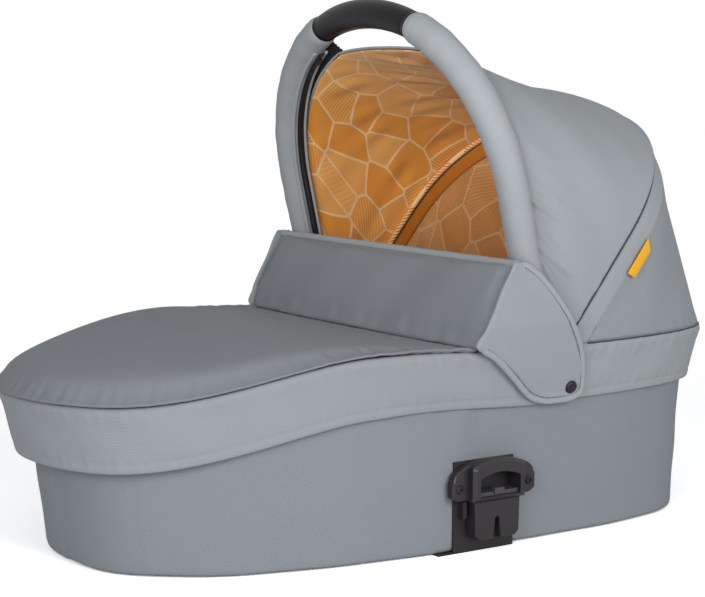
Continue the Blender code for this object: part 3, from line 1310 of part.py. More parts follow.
socket_y = band_y(STUD_Z, BAND_DROP_HOOD, 0.0)
socket_high = wing_y(STUD_Z) - socket_y - 2 * STUD_CLEAR
socket = turned("stud_socket_right", [(0, socket_high), (STUD_RADIUS * 0.7, socket_high), (STUD_RADIUS * 0.7, 0),
                                      (0, 0)], 20)
settle(socket)
outward_normals(socket)
socket.data.transform(Matrix.Translation((STUD_X, -socket_y - STUD_CLEAR, STUD_Z))
                      @ Matrix.Rotation(math.radians(90) + slope, 4, "X"))
finish(socket, (68, 66, 73), 0.4)
finish(other_side(socket, "stud_socket_left"), (68, 66, 73), 0.4)
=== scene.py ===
"""Looks for the carrycot: fabric, lining, trims and studio, built round the
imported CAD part.

Metres, +Z up, +X toward the head end, the near side at -Y, as in the part.
"""
import json
import math

import bmesh
import bpy
import numpy as np
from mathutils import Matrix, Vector


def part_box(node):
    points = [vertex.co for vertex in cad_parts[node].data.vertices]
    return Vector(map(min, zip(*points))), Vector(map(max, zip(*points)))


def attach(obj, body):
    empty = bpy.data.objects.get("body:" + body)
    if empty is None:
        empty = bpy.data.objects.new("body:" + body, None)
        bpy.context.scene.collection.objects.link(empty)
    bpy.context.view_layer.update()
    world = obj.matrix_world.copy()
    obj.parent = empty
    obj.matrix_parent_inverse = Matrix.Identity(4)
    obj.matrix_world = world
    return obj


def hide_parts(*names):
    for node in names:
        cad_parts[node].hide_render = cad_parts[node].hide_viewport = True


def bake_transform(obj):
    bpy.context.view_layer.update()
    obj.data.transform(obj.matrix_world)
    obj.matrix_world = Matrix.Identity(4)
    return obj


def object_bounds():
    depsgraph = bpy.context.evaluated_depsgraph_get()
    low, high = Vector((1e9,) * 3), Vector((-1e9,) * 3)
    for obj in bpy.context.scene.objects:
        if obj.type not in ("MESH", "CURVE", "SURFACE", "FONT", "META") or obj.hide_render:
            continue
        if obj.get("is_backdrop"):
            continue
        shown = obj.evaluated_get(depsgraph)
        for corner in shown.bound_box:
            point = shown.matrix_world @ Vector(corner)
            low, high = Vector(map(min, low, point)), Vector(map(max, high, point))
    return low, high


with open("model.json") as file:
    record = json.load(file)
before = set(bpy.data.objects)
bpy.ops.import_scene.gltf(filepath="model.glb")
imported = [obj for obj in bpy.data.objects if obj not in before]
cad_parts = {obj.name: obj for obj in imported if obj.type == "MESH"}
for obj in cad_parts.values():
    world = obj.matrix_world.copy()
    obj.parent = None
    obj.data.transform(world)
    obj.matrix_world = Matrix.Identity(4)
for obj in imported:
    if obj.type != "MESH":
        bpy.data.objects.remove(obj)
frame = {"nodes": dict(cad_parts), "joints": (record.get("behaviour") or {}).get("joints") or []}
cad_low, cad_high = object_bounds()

# Outline of the cot, as in the part
HALF_LENGTH = (cad_high.x - cad_low.x) / 2
RIM_HALF_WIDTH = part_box("cover_band")[1].y
RIM_SHAPE = (-0.060, 2.2, 4.6)          # widest place, roundness of foot and head
BASE_SHAPE = (0.090, 2.6, 4.2)
BASE_HALF_WIDTH, BASE_FOOT_X, BASE_HEAD_X = 0.2034, -0.363, 0.379
SEAM_Z_FOOT, SEAM_Z_CREST, SEAM_Z_HEAD = 0.1832, 0.2243, 0.2145
SEAM_RISE, SEAM_FALL = (-0.385, -0.115), (-0.090, 0.118)
BAND_THICKNESS, BAND_TUCK = 0.004, 0.0135
BAND_DROP_FOOT, BAND_DROP_MIDDLE, BAND_DROP_HOOD = 0.0705, 0.062, 0.0635
BAND_DROP_RUN = (-0.250, 0.050)
BAND_SPLIT_X, BAND_SPLIT_GAP = 0.124, 0.003
BAND_DEPTHS = (0.0, 0.30, 0.72, 1.0)    # down the band
BAND_TUCKS = (0.0, 0.34, 0.70, 1.0)     # how far in it lies there
TUB_WALL, TUB_EDGE_RADIUS = 0.006, 0.0045
TUB_RIM_TUCK, TUB_FOOT_TUCK = 0.0180, 0.0320
TUB_FLOOR_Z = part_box("tub_shell")[0].z
COVER_THICKNESS, COVER_CROWN = 0.0036, 0.0295
COVER_FADE_RUN, COVER_FADE_SHARE = 0.380, 0.02
FLAP_BASE_X, FLAP_TOP_X, FLAP_TOP_Z = -0.004, 0.049, 0.3150
FLAP_THICKNESS, FLAP_EDGE_THICKNESS = 0.014, 0.005
FLAP_BULGE, FLAP_HALF_WIDTH, FLAP_FOOT_CLEAR = 0.008, 0.2337, 0.0013
WING_THICKNESS, WING_REACH, WING_SWEEP_SHARE = 0.004, 0.154, 0.62
WING_LOW_Z, WING_BEND_Z, WING_UPPER_Y, WING_HUG = 0.1535, 0.246, 0.2345, 0.0012
STUD_Z = 0.1690
GAP = 0.0003

# Hood, as in the part
HINGE = Vector(next(j for j in frame["joints"] if j["name"] == "rear_hoop_fold")["pos_m"])
BOW_BASE_X, BOW_LEAN, BOW_HALF_WIDTH = 0.0967, -12.5, 0.2175
BOW_STRAIGHT, BOW_REACH, BOW_POWER = 0.155, 0.362, 2.11
BOW_TUBE_START, BOW_SLEEVE_START = 0.008, 0.040
SLEEVE_RADIUS_LOW, SLEEVE_RADIUS_HIGH = 0.0162, 0.0184
GRIP_RADIUS, GRIP_SWELL, GRIP_HALF_LENGTH = 0.0155, 0.0012, 0.092
HOOP_BASE_X, HOOP_LEAN, HOOP_HALF_WIDTH = 0.1420, 38.5, 0.2160
HOOP_STRAIGHT, HOOP_REACH, HOOP_POWER = 0.134, 0.310, 2.3
HOOP_SLEEVE_WIDTH, HOOP_SLEEVE_DROP = 0.025, 0.014
SLEEVE_BEND = (0.030, 0.100)            # its lower ends, up from the hinge; the stitches start past the second
CANOPY_THICKNESS, CANOPY_FRONT_REACH, CANOPY_SAG = 0.003, 0.335, 0.036
CANOPY_SCOOP, CANOPY_SCOOP_HALF_WIDTH = 0.010, 0.095
CANOPY_TUCK, CANOPY_RIM_INSET, DIP_FADE_HEIGHT = 0.002, 0.0030, 0.080
LINING_THICKNESS, LINING_CLEAR, LINING_LIFT = 0.0016, 0.0009, 0.0024
LABEL_START, LABEL_LENGTH = 0.102, 0.048
ZIP_WIDTH, ZIP_START, ZIP_END_DROP = 0.009, 0.060, 0.030

# The photograph's camera, and the lamps
PHOTO_WIDTH, PHOTO_HEIGHT = 705, 597
CAMERA_AZIMUTH, CAMERA_ELEVATION, CAMERA_DISTANCE = -34.0, 7.0, 2.2
CAMERA_AIM = Vector((0, 0, 0.25))
CAMERA_FOCAL_PX = 1921
CAMERA_CENTRE_PX = (351.5, 302.6)
SENSOR_WIDTH_MM = 36.0
LAMP_AIM = (0, 0, 0.22)
LAMPS = (("key", (0.05, -1.85, 0.80), 1.0, 15.0), ("fill", (-1.35, -1.05, 0.62), 0.8, 10.5))
HOOD_LAMP = ((-0.95, -1.05, 0.66), (0.13, 0.07, 0.46), 42.0)    # place, aim, power
HOOD_LAMP_CONE, HOOD_LAMP_SIZE = 20.0, 0.15
SKY_COLOUR, SKY_STRENGTH = (0.97, 0.985, 1.0, 1), 0.34
FLOOR_RADIUS, FLOOR_FADE = 6.0, (0.62, 1.25)    # its colour fades out over these distances
FLOOR_TONE, FLOOR_SEEN = 0.90, 2.4


# Lines
def ease(share):
    share = np.clip(share, 0.0, 1.0)
    return share * share * (3 - 2 * share)


def ramp(value, run):
    """0 before run, 1 past it, and smooth between."""
    return ease((value - run[0]) / (run[1] - run[0]))


def bell(value, centre, width):
    return np.exp(-(((value - centre) / width) ** 2))


def ripple(along, waves, seed):
    """A smooth irregular wave of about unit height; waves are its lengths."""
    phases = np.random.default_rng(seed).uniform(0, 2 * np.pi, len(waves))
    return sum(np.sin(2 * np.pi * along / w + p) for w, p in zip(waves, phases)) / len(waves) ** 0.5


def between(start, end, share):
    return start + (end - start) * share


def units(vectors):
    return vectors / np.linalg.norm(vectors, axis=-1, keepdims=True)


def lengths(line):
    return np.concatenate([[0.0], np.cumsum(np.linalg.norm(np.diff(line, axis=0), axis=1))])


def at_lengths(line, values, goals):
    """The values that go with a line's points, at some lengths along it."""
    run = lengths(line)
    return np.column_stack([np.interp(goals, run, values[:, k]) for k in range(3)])


def stretch_of(line, start, end, count):
    """The part of a line between two lengths along it."""
    return at_lengths(line, line, np.linspace(start, end, count))


def resample(line, count):
    return stretch_of(line, 0, lengths(line)[-1], count)


def seam_z(x):
    rise = (SEAM_Z_CREST - SEAM_Z_FOOT) * ramp(x, SEAM_RISE)
    return SEAM_Z_FOOT + rise + (SEAM_Z_HEAD - SEAM_Z_CREST) * ramp(x, SEAM_FALL)


def band_drop(x):
    foot = between(BAND_DROP_FOOT, BAND_DROP_MIDDLE, ramp(x, BAND_DROP_RUN))
    return np.where(x > BAND_SPLIT_X, BAND_DROP_HOOD, foot)


def mirrored(line):
    return line * (1, -1, 1)


def half_plan(half_width, foot_x, head_x, shape=RIM_SHAPE, fine=500):
    widest, foot_power, head_power = shape
    turn = np.linspace(0, np.pi / 2, fine + 1)
    sin, cos = np.sin(turn), np.clip(np.cos(turn), 0, None)
    foot = np.column_stack([widest - (widest - foot_x) * cos ** (2 / foot_power),
                            half_width * sin ** (2 / foot_power)])
    head = np.column_stack([widest + (head_x - widest) * sin ** (2 / head_power),
                            half_width * cos ** (2 / head_power)])
    line = np.vstack([foot, head[1:]])
    line[-1, 1] = 0.0
    return np.column_stack([line, np.zeros(len(line))])


def plan(half_width, foot_x, head_x, count, shape=RIM_SHAPE):
    """The closed outline, from the foot's tip along the near side."""
    half = resample(half_plan(half_width, foot_x, head_x, shape), count // 2 + 1)
    return np.vstack([mirrored(half), half[-2:0:-1]])


def cut_line(inset, cut_x, head, count):
    """The outline beyond cut_x, from the near side to the far."""
    half = half_plan(RIM_HALF_WIDTH - inset, inset - HALF_LENGTH, HALF_LENGTH - inset)
    if head:
        half = half[half[:, 0] >= cut_x]
        half[0, 0] = cut_x
        line = np.vstack([mirrored(half), half[-2::-1]])
    else:
        half = half[half[:, 0] <= cut_x]
        half[-1, 0] = cut_x
        line = np.vstack([mirrored(half)[::-1], half[1:]])
    return resample(line, count)


def lean_up(lean):
    return np.array([math.sin(math.radians(lean)), 0, math.cos(math.radians(lean))])


def lean_side(lean):
    return np.array([math.cos(math.radians(lean)), 0, -math.sin(math.radians(lean))])


def flat_arch(half_width, start, straight, reach, power, count, fine=400):
    """An arch as (height, y), from the near foot to the far one."""
    turn = np.linspace(0, np.pi / 2, fine + 1)
    y = half_width * np.clip(np.cos(turn), 0, None) ** (2 / power)
    y[-1] = 0.0
    high = straight + (reach - straight) * np.sin(turn) ** (2 / power)
    half = np.column_stack([np.append(start, high), np.append(half_width, y), np.zeros(fine + 2)])
    return resample(np.vstack([mirrored(half), half[-2::-1]]), count)[:, :2]


def in_space(section):
    base_x, base_z, lean, points = section
    return np.array([base_x, 0, base_z]) + points[:, :1] * lean_up(lean) + points[:, 1:] * (0, 1, 0)


def bow_arch(grow, start, count):
    points = flat_arch(BOW_HALF_WIDTH + grow, start, BOW_STRAIGHT, BOW_REACH + grow, BOW_POWER, count)
    return in_space((BOW_BASE_X, HINGE.z, BOW_LEAN, points))


def hoop_arch(grow, start, count):
    points = flat_arch(HOOP_HALF_WIDTH + grow, start, HOOP_STRAIGHT, HOOP_REACH + grow, HOOP_POWER, count)
    return in_space((HOOP_BASE_X, HINGE.z, HOOP_LEAN, points))


def outward(line, side):
    out = units(np.cross(side, units(np.gradient(line, axis=0))))
    return -out if out[len(line) // 2, 2] < 0 else out


# Meshes
def new_mesh(name, verts, faces, uv=None):
    mesh = bpy.data.meshes.new(name)
    mesh.from_pydata([tuple(v) for v in verts], [], faces)
    if uv is not None:
        layer = mesh.uv_layers.new(name="cloth")
        where = np.zeros(len(mesh.loops), int)
        mesh.loops.foreach_get("vertex_index", where)
        layer.data.foreach_set("uv", np.asarray(uv, np.float32)[where].ravel())
    bm = bmesh.new()
    bm.from_mesh(mesh)
    bmesh.ops.recalc_face_normals(bm, faces=bm.faces)
    bm.to_mesh(mesh)
    bm.free()
    mesh.shade_smooth()
    obj = bpy.data.objects.new(name, mesh)
    bpy.context.scene.collection.objects.link(obj)
    return obj


def paint(obj, mat):
    obj.data.materials.clear()
    obj.data.materials.append(mat)


def dress(obj, mat, body, nodes=()):
    """Material, body, and the CAD nodes it stands for."""
    paint(obj, mat)
    if body:
        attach(obj, body)
    if nodes:
        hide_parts(*nodes)
    return obj


def spans(grid):
    """Metres across each row, from its middle, and down each column."""
    across = np.cumsum(np.linalg.norm(np.diff(grid, axis=1), axis=2), axis=1)
    across = np.concatenate([np.zeros((len(grid), 1)), across], axis=1)
    down = np.cumsum(np.linalg.norm(np.diff(grid, axis=0), axis=2), axis=0)
    down = np.concatenate([np.zeros((1, grid.shape[1])), down], axis=0)
    return across - across[:, grid.shape[1] // 2][:, None], down


def grid_normals(grid, closed=False):
    if closed:
        across = np.roll(grid, -1, 1) - np.roll(grid, 1, 1)
    else:
        across = np.gradient(grid, axis=1)
    normal = np.cross(across, np.gradient(grid, axis=0))
    size = np.linalg.norm(normal, axis=2)[..., None]
    return normal / np.where(size > 0, size, 1)


def outer_side(grid, inside):
    """1 or -1, so that the grid's normals point away from a place inside."""
    r, c = grid.shape[0] // 2, grid.shape[1] // 2
    return 1 if grid_normals(grid)[r, c] @ (grid[r, c] - np.array(inside)) > 0 else -1


def border_of(rows, cols):
    """A grid's border, point after point, as (row, column)."""
    return ([(0, c) for c in range(cols)] + [(r, cols - 1) for r in range(1, rows)]
            + [(rows - 1, c) for c in range(cols - 2, -1, -1)] + [(r, 0) for r in range(rows - 2, 0, -1)])


def rim_way(grid, r, c, closed=False):
    """The way out of a grid at a point of its border."""
    rows, cols = grid.shape[:2]
    way = np.zeros(3)
    steps = []
    if r in (0, rows - 1):
        steps.append(grid[r, c] - grid[1 if r == 0 else rows - 2, c])
    if c in (0, cols - 1) and not closed:
        steps.append(grid[r, c] - grid[r, 1 if c == 0 else cols - 2])
    for step in steps:
        way += step / (np.linalg.norm(step) or 1)
    return way / (np.linalg.norm(way) or 1)


def two_faces(rows, cols, closed=False):
    """Quads of a grid, and of its copy behind it, whose points come after."""
    faces, count = [], rows * cols
    for r in range(rows - 1):
        for c in range(cols if closed else cols - 1):
            d = (c + 1) % cols
            a, b, e, f = r * cols + c, r * cols + d, (r + 1) * cols + d, (r + 1) * cols + c
            faces += [(a, b, e, f), (count + a, count + f, count + e, count + b)]
    return faces


def edge_faces(border, cols, count, at):
    """Quads from both faces' borders to the ring between them, whose points start at at."""
    faces = []
    for i in range(len(border)):
        j = (i + 1) % len(border)
        a, b = border[i][0] * cols + border[i][1], border[j][0] * cols + border[j][1]
        faces += [(a, b, at + j, at + i), (at + i, at + j, count + b, count + a)]
    return faces


def tube_faces(rings, sides):
    """Quads between rings of points, and a face at each end."""
    faces = []
    for low in range(0, (rings - 1) * sides, sides):
        high = low + sides
        for c in range(sides):
            d = (c + 1) % sides
            faces.append((low + c, low + d, high + d, high + c))
    return faces + [tuple(range(sides)), tuple((rings - 1) * sides + c for c in reversed(range(sides)))]


def cloth(name, grid, thickness, side=1, closed=False, relief=None, capped=None):
    """A sheet with thickness and rounded edges; grid is its outer face.

    side turns the outer face's direction. relief gives metres outward from
    the metres across and down, and is 0 where it is left out. capped is the
    small ring, 0 or -1, that a closed sheet is filled at.
    """
    rows, cols = grid.shape[:2]
    count = rows * cols
    normal = grid_normals(grid, closed) * side
    across, down = spans(grid)
    if relief is not None:
        grid = grid + normal * relief(across, down)[..., None]
    inner = grid - normal * thickness
    borders = [[(r, c) for c in range(cols)] for r in (0, rows - 1)] if closed else [border_of(rows, cols)]
    faces = two_faces(rows, cols, closed)
    if capped is not None:
        del borders[capped]
        ring = [(capped % rows) * cols + c for c in range(cols)]
        faces += [tuple(ring), tuple(count + v for v in reversed(ring))]
    verts = [grid.reshape(-1, 3), inner.reshape(-1, 3)]
    uvs = [np.dstack([across, down]).reshape(-1, 2)] * 2
    at = 2 * count
    for border in borders:
        verts.append(np.array([(grid[r, c] + inner[r, c]) / 2 + rim_way(grid, r, c, closed) * thickness / 2
                               for r, c in border]))
        uvs.append(np.array([(across[r, c], down[r, c]) for r, c in border]))
        faces += edge_faces(border, cols, count, at)
        at += len(border)
    return new_mesh(name, np.vstack(verts), faces, np.vstack(uvs))


# A cloth's thickness, over that of the solid it stands for
SHEET_SHARE, BAND_SHARE, HOOD_SHARE = 0.9, 0.85, 0.7
PAD_EDGE_SHARE = 0.35           # how far a pad's edge stands out, over its thickness there


def pad(name, front, rear, relief):
    """A closed pad between two grids that share their outline."""
    rows, cols = front.shape[:2]
    count = rows * cols
    across, down = spans(front)
    front = front + units(front - rear) * relief(across, down)[..., None]
    border = border_of(rows, cols)
    reach = np.linalg.norm(front - rear, axis=2) * PAD_EDGE_SHARE
    ring = [(front[r, c] + rear[r, c]) / 2 + rim_way(front, r, c) * reach[r, c] for r, c in border]
    faces = two_faces(rows, cols) + edge_faces(border, cols, count, 2 * count)
    flat = np.dstack([across, down]).reshape(-1, 2)
    uv = np.vstack([flat, flat, np.array([(across[r, c], down[r, c]) for r, c in border])])
    return new_mesh(name, np.vstack([front.reshape(-1, 3), rear.reshape(-1, 3), ring]), faces, uv)


def frames(line):
    """Unit side, normal and tangent at each point, without twist."""
    tangent = units(np.gradient(line, axis=0))
    normal = np.zeros_like(line)
    start = np.array([0, 0, 1.0]) if abs(tangent[0, 2]) < 0.9 else np.array([1.0, 0, 0])
    for i, t in enumerate(tangent):
        start = units(start - t * (start @ t))
        normal[i] = start
    return np.cross(tangent, normal), normal, tangent


PIPE_END_SIZES = np.array([0.30, 0.72, 0.93])   # the rings of a round end, from its tip
PIPE_END_OUTS = np.array([1.0, 0.62, 0.25])     # how far out they are, over its reach


def pipe(name, line, radius, sides=12, wide=None, out=None):
    """A closed tube along a line. With out, radius is its height along out
    and wide its half width square to it."""
    side, normal, tangent = frames(line)
    if out is not None:
        normal = units(out - tangent * np.sum(out * tangent, axis=1)[:, None])
        side = np.cross(tangent, normal)
    radius = np.broadcast_to(np.asarray(radius, float), len(line))
    wide = radius if wide is None else np.broadcast_to(np.asarray(wide, float), len(line))
    first_reach, last_reach = np.minimum(radius, wide)[[0, -1]] / 2
    middle = np.vstack([line[0] - tangent[0] * first_reach * PIPE_END_OUTS[:, None], line,
                        line[-1] + tangent[-1] * last_reach * PIPE_END_OUTS[::-1, None]])
    shrink = np.concatenate([PIPE_END_SIZES, np.ones(len(line)), PIPE_END_SIZES[::-1]])
    count = len(PIPE_END_SIZES)
    side, normal, radius, wide = (
        np.concatenate([np.repeat(v[:1], count, 0), v, np.repeat(v[-1:], count, 0)])
        for v in (side, normal, radius, wide))
    turn = 2 * np.pi * np.arange(sides) / sides
    rings = (middle[:, None] + side[:, None] * (np.cos(turn)[None, :, None] * (wide * shrink)[:, None, None])
             + normal[:, None] * (np.sin(turn)[None, :, None] * (radius * shrink)[:, None, None]))
    uv = np.dstack([np.repeat(turn[None] * radius.max(), len(middle), 0),
                    np.repeat(lengths(middle)[:, None], sides, 1)]).reshape(-1, 2)
    return new_mesh(name, rings.reshape(-1, 3), tube_faces(len(middle), sides), uv)


STITCH_PITCH, STITCH_LENGTH, STITCH_RADIUS, STITCH_BODY_SHARE = 0.0034, 0.0023, 0.00045, 0.4
THREAD_LIFT = 0.0001            # how far stitches lie above their cloth


def stitches(name, line, out, length=STITCH_LENGTH):
    """A row of thread stitches that lie on a surface."""
    full = lengths(line)[-1]
    goals = np.linspace(STITCH_PITCH / 2, full - STITCH_PITCH / 2, max(int(full / STITCH_PITCH), 2))
    centres, outs = at_lengths(line, line, goals), units(at_lengths(line, out, goals))
    tangents = units(np.gradient(centres, axis=0))
    verts, faces = [], []
    for centre, up, side, along in zip(centres, outs, np.cross(tangents, outs), tangents * length / 2):
        base = len(verts)
        ring = [way * STITCH_RADIUS for way in (up, side, -up, -side)]
        verts.append(centre - along)
        verts += [centre - along * STITCH_BODY_SHARE + way for way in ring]
        verts += [centre + along * STITCH_BODY_SHARE + way for way in ring]
        verts.append(centre + along)
        for k in range(4):
            m = (k + 1) % 4
            faces += [(base, base + 1 + m, base + 1 + k),
                      (base + 1 + k, base + 1 + m, base + 5 + m, base + 5 + k),
                      (base + 5 + k, base + 5 + m, base + 9)]
    return new_mesh(name, verts, faces, np.zeros((len(verts), 2)))


SWELL_PRESSURE, SWELL_FRAMES, SWELL_QUALITY = 4.0, 20, 4


def plump(obj, cap, voxel, freed=None):
    """Swell a pad by cloth simulation, no point moving further than cap.

    freed gives each point's share of cap, for an edge that is sewn down.
    """
    scene = bpy.context.scene
    remesh = obj.modifiers.new("remesh", "REMESH")
    remesh.mode = "VOXEL"
    remesh.voxel_size = voxel
    remesh.use_smooth_shade = True

    def bake():
        graph = bpy.context.evaluated_depsgraph_get()
        return bpy.data.meshes.new_from_object(obj.evaluated_get(graph), preserve_all_data_layers=False,
                                               depsgraph=graph)

    def places(mesh):
        out = np.zeros(len(mesh.vertices) * 3)
        mesh.vertices.foreach_get("co", out)
        return out.reshape(-1, 3)

    mesh = bake()
    obj.modifiers.clear()
    obj.data = mesh
    before = places(mesh)
    sim = obj.modifiers.new("swell", "CLOTH")
    sim.settings.use_pressure = True
    sim.settings.uniform_pressure_force = SWELL_PRESSURE
    sim.settings.effector_weights.gravity = 0
    sim.settings.quality = SWELL_QUALITY
    sim.point_cache.frame_start = 1
    sim.point_cache.frame_end = SWELL_FRAMES
    for number in range(1, SWELL_FRAMES + 1):
        scene.frame_set(number)
    move = places(bake()) - before
    obj.modifiers.clear()
    scene.frame_set(1)
    size = np.linalg.norm(move, axis=1)[:, None]
    most = cap if freed is None else cap * freed(before)[:, None]
    after = before + move * np.minimum(1, most / np.maximum(size, cap / 1000))
    mesh.vertices.foreach_set("co", after.ravel())
    mesh.shade_smooth()
    obj.modifiers.new("smooth", "SUBSURF").render_levels = 1
    obj.modifiers["smooth"].levels = 1


# Materials
def linear(channel):
    c = channel / 255
    return c / 12.92 if c <= 0.04045 else ((c + 0.055) / 1.055) ** 2.4


def colour(rgb):
    return [linear(c) for c in rgb] + [1.0]


class Nodes:
    """The nodes of a material or a world, with short calls to add to them."""

    def __init__(self, owner):
        owner.use_nodes = True
        self.owner = owner
        self.tree = owner.node_tree
        self.shader = self.tree.nodes.get("Principled BSDF")

    def feed(self, socket, value):
        if isinstance(value, bpy.types.NodeSocket):
            self.tree.links.new(value, socket)
        else:
            socket.default_value = value

    def add(self, kind, inputs=None, **settings):
        node = self.tree.nodes.new(kind)
        for key, value in settings.items():
            setattr(node, key, value)
        for key, value in (inputs or {}).items():
            self.feed(node.inputs[key], value)
        return node

    def math(self, operation, a, b=0.0):
        return self.add("ShaderNodeMath", {0: a, 1: b}, operation=operation).outputs[0]

    def vector(self, operation, a, b=(0, 0, 0)):
        return self.add("ShaderNodeVectorMath", {0: a, 1: b}, operation=operation).outputs

    def mix(self, share, a, b):
        return self.add("ShaderNodeMix", {0: share, 6: a, 7: b}, data_type="RGBA").outputs[2]

    def place(self, kind="Object"):
        return self.add("ShaderNodeTexCoord").outputs[kind]

    def noise(self, where, scale, detail=2.0, rough=0.5):
        inputs = {"Vector": where, "Scale": scale, "Detail": detail, "Roughness": rough}
        return self.add("ShaderNodeTexNoise", inputs).outputs["Fac"]

    def cells(self, where, scale, randomness, feature="F1"):
        return self.add("ShaderNodeTexVoronoi", {"Vector": where, "Scale": scale, "Randomness": randomness},
                        voronoi_dimensions="2D", feature=feature).outputs

    def waves(self, where, way, pitch):
        along = self.vector("DOT_PRODUCT", where, way)["Value"]
        return self.math("SINE", self.math("MULTIPLY", along, 2 * math.pi / pitch))

    def bump(self, height, strength, distance):
        inputs = {"Height": height, "Strength": strength, "Distance": distance}
        return self.add("ShaderNodeBump", inputs).outputs["Normal"]

    def out(self, **sockets):
        for key, value in sockets.items():
            self.feed(self.shader.inputs[key.replace("_", " ")], value)
        return self.owner


THREAD_SLANT = 1.414            # how much longer the weave's step is along its slanting threads
TWILL_RIGHT, TWILL_LEFT = 0.35, 0.15            # how strongly each way of threads shows
MELANGE_SCALE, MELANGE_BUMP, WEAVE_BUMP = 420.0, 0.6, 0.4


def weave(n, base, pitch, depth, speckle=0.17, tone=0.08, thread=0.06):
    """Colour and bump of a fine twill, on top of a base colour."""
    where = n.place()
    right, left = (n.waves(where, way, pitch * THREAD_SLANT) for way in ((1, 1, 1), (1, -1, 1)))
    woven = n.math("ADD", n.math("MULTIPLY", right, TWILL_RIGHT),
                   n.math("ADD", n.math("MULTIPLY", left, TWILL_LEFT), 0.5))
    melange = n.noise(where, MELANGE_SCALE, 3.0, 0.75)
    soft = n.noise(where, 9.0, 3.0)
    value = n.math("ADD", 1.0 - (speckle + tone + thread) / 2,
                   n.math("ADD", n.math("MULTIPLY", melange, speckle),
                          n.math("ADD", n.math("MULTIPLY", soft, tone), n.math("MULTIPLY", woven, thread))))
    shade = n.add("ShaderNodeHueSaturation", {"Color": base, "Value": value}).outputs["Color"]
    return shade, n.bump(n.math("ADD", woven, n.math("MULTIPLY", melange, MELANGE_BUMP)), WEAVE_BUMP, depth)


def fabric(name, rgb, pitch=0.0016, depth=0.00025, roughness=0.70, sheen=0.04, specular=0.08):
    n = Nodes(bpy.data.materials.new(name))
    shade, bump = weave(n, colour(rgb), pitch, depth)
    return n.out(Base_Color=shade, Normal=bump, Roughness=roughness, Sheen_Weight=sheen, Sheen_Roughness=0.45,
                 Specular_IOR_Level=specular)


FINE_PITCH, FINE_DEPTH = 0.0009, 0.0002         # of the lining's weave
CELL_SCALE, CELL_RANDOMNESS, CELL_LINE, CELL_LINE_SHARE = 20.0, 0.95, 0.030, 0.85
HATCH_PITCH, HATCH_FROM, HATCHED_CELLS, HATCH_SHARE = 0.0042, 0.2, 0.55, 0.75
PALE_CELLS, PALE_SHARE = 0.68, 0.55             # cells above this are paler, by this share
MESH_SCALE, MESH_RANDOMNESS, MESH_HOLE = 520.0, 0.15, 0.36
MESH_DARK = (44, 27, 14)


def lining_print(name, ground, light, line, mesh_shade=None):
    """A generic print of irregular cells: plain, light and hatched ones."""
    n = Nodes(bpy.data.materials.new(name))
    uv = n.place("UV")
    edge = n.cells(uv, CELL_SCALE, CELL_RANDOMNESS, "DISTANCE_TO_EDGE")["Distance"]
    cell = n.cells(uv, CELL_SCALE, CELL_RANDOMNESS)["Color"]
    parts = n.add("ShaderNodeSeparateColor", {"Color": cell}).outputs
    way = n.vector("NORMALIZE", n.vector("SUBTRACT", cell, (0.5, 0.5, 0.5))[0])[0]
    hatch = n.math("MULTIPLY", n.math("GREATER_THAN", n.waves(way, uv, HATCH_PITCH), HATCH_FROM),
                   n.math("GREATER_THAN", parts["Green"], HATCHED_CELLS))
    pale = n.math("MULTIPLY", n.math("GREATER_THAN", parts["Blue"], PALE_CELLS), PALE_SHARE)
    lines = n.math("MULTIPLY", n.math("LESS_THAN", edge, CELL_LINE), CELL_LINE_SHARE)
    base = n.mix(pale, colour(ground), colour(light))
    base = n.mix(n.math("MULTIPLY", hatch, HATCH_SHARE), base, colour(light))
    base = n.mix(lines, base, colour(line))
    if mesh_shade:
        holes = n.math("LESS_THAN", n.cells(uv, MESH_SCALE, MESH_RANDOMNESS)["Distance"], MESH_HOLE)
        base = n.mix(n.math("MULTIPLY", holes, mesh_shade), base, colour(MESH_DARK))
    shade, bump = weave(n, base, FINE_PITCH, FINE_DEPTH)
    return n.out(Base_Color=shade, Normal=bump, Roughness=0.7, Sheen_Weight=0.15, Specular_IOR_Level=0.3)


def striped(name, pale, dark, pitch):
    """Cloth cut on the bias, for a cord: slanting stripes along its UVs."""
    n = Nodes(bpy.data.materials.new(name))
    uv = n.place("UV")
    stripe = n.math("GREATER_THAN", n.waves(uv, (0.9, 1.0, 0.0), pitch), 0.1)
    share = n.math("MULTIPLY", stripe, n.math("GREATER_THAN", n.noise(uv, 24.0), 0.46))
    shade, bump = weave(n, n.mix(share, colour(pale), colour(dark)), FINE_PITCH, FINE_DEPTH)
    return n.out(Base_Color=shade, Roughness=0.7, Normal=bump, Specular_IOR_Level=0.2)


def moulded(name, rgb, roughness=0.45, grain=650.0, depth=0.00012, metallic=0.0, strength=0.35, specular=0.5):
    """Grained plastic, rubber or painted metal."""
    n = Nodes(bpy.data.materials.new(name))
    where = n.place()
    wear = n.noise(where, 28.0, 4.0)
    value = n.math("ADD", 0.84, n.math("MULTIPLY", wear, 0.32))
    shade = n.add("ShaderNodeHueSaturation", {"Color": colour(rgb), "Value": value}).outputs["Color"]
    rough = n.math("ADD", roughness - 0.07, n.math("MULTIPLY", wear, 0.14))
    bump = n.bump(n.noise(where, grain, 3.0), strength, depth)
    return n.out(Base_Color=shade, Roughness=rough, Normal=bump, Metallic=metallic,
                 Specular_IOR_Level=specular)


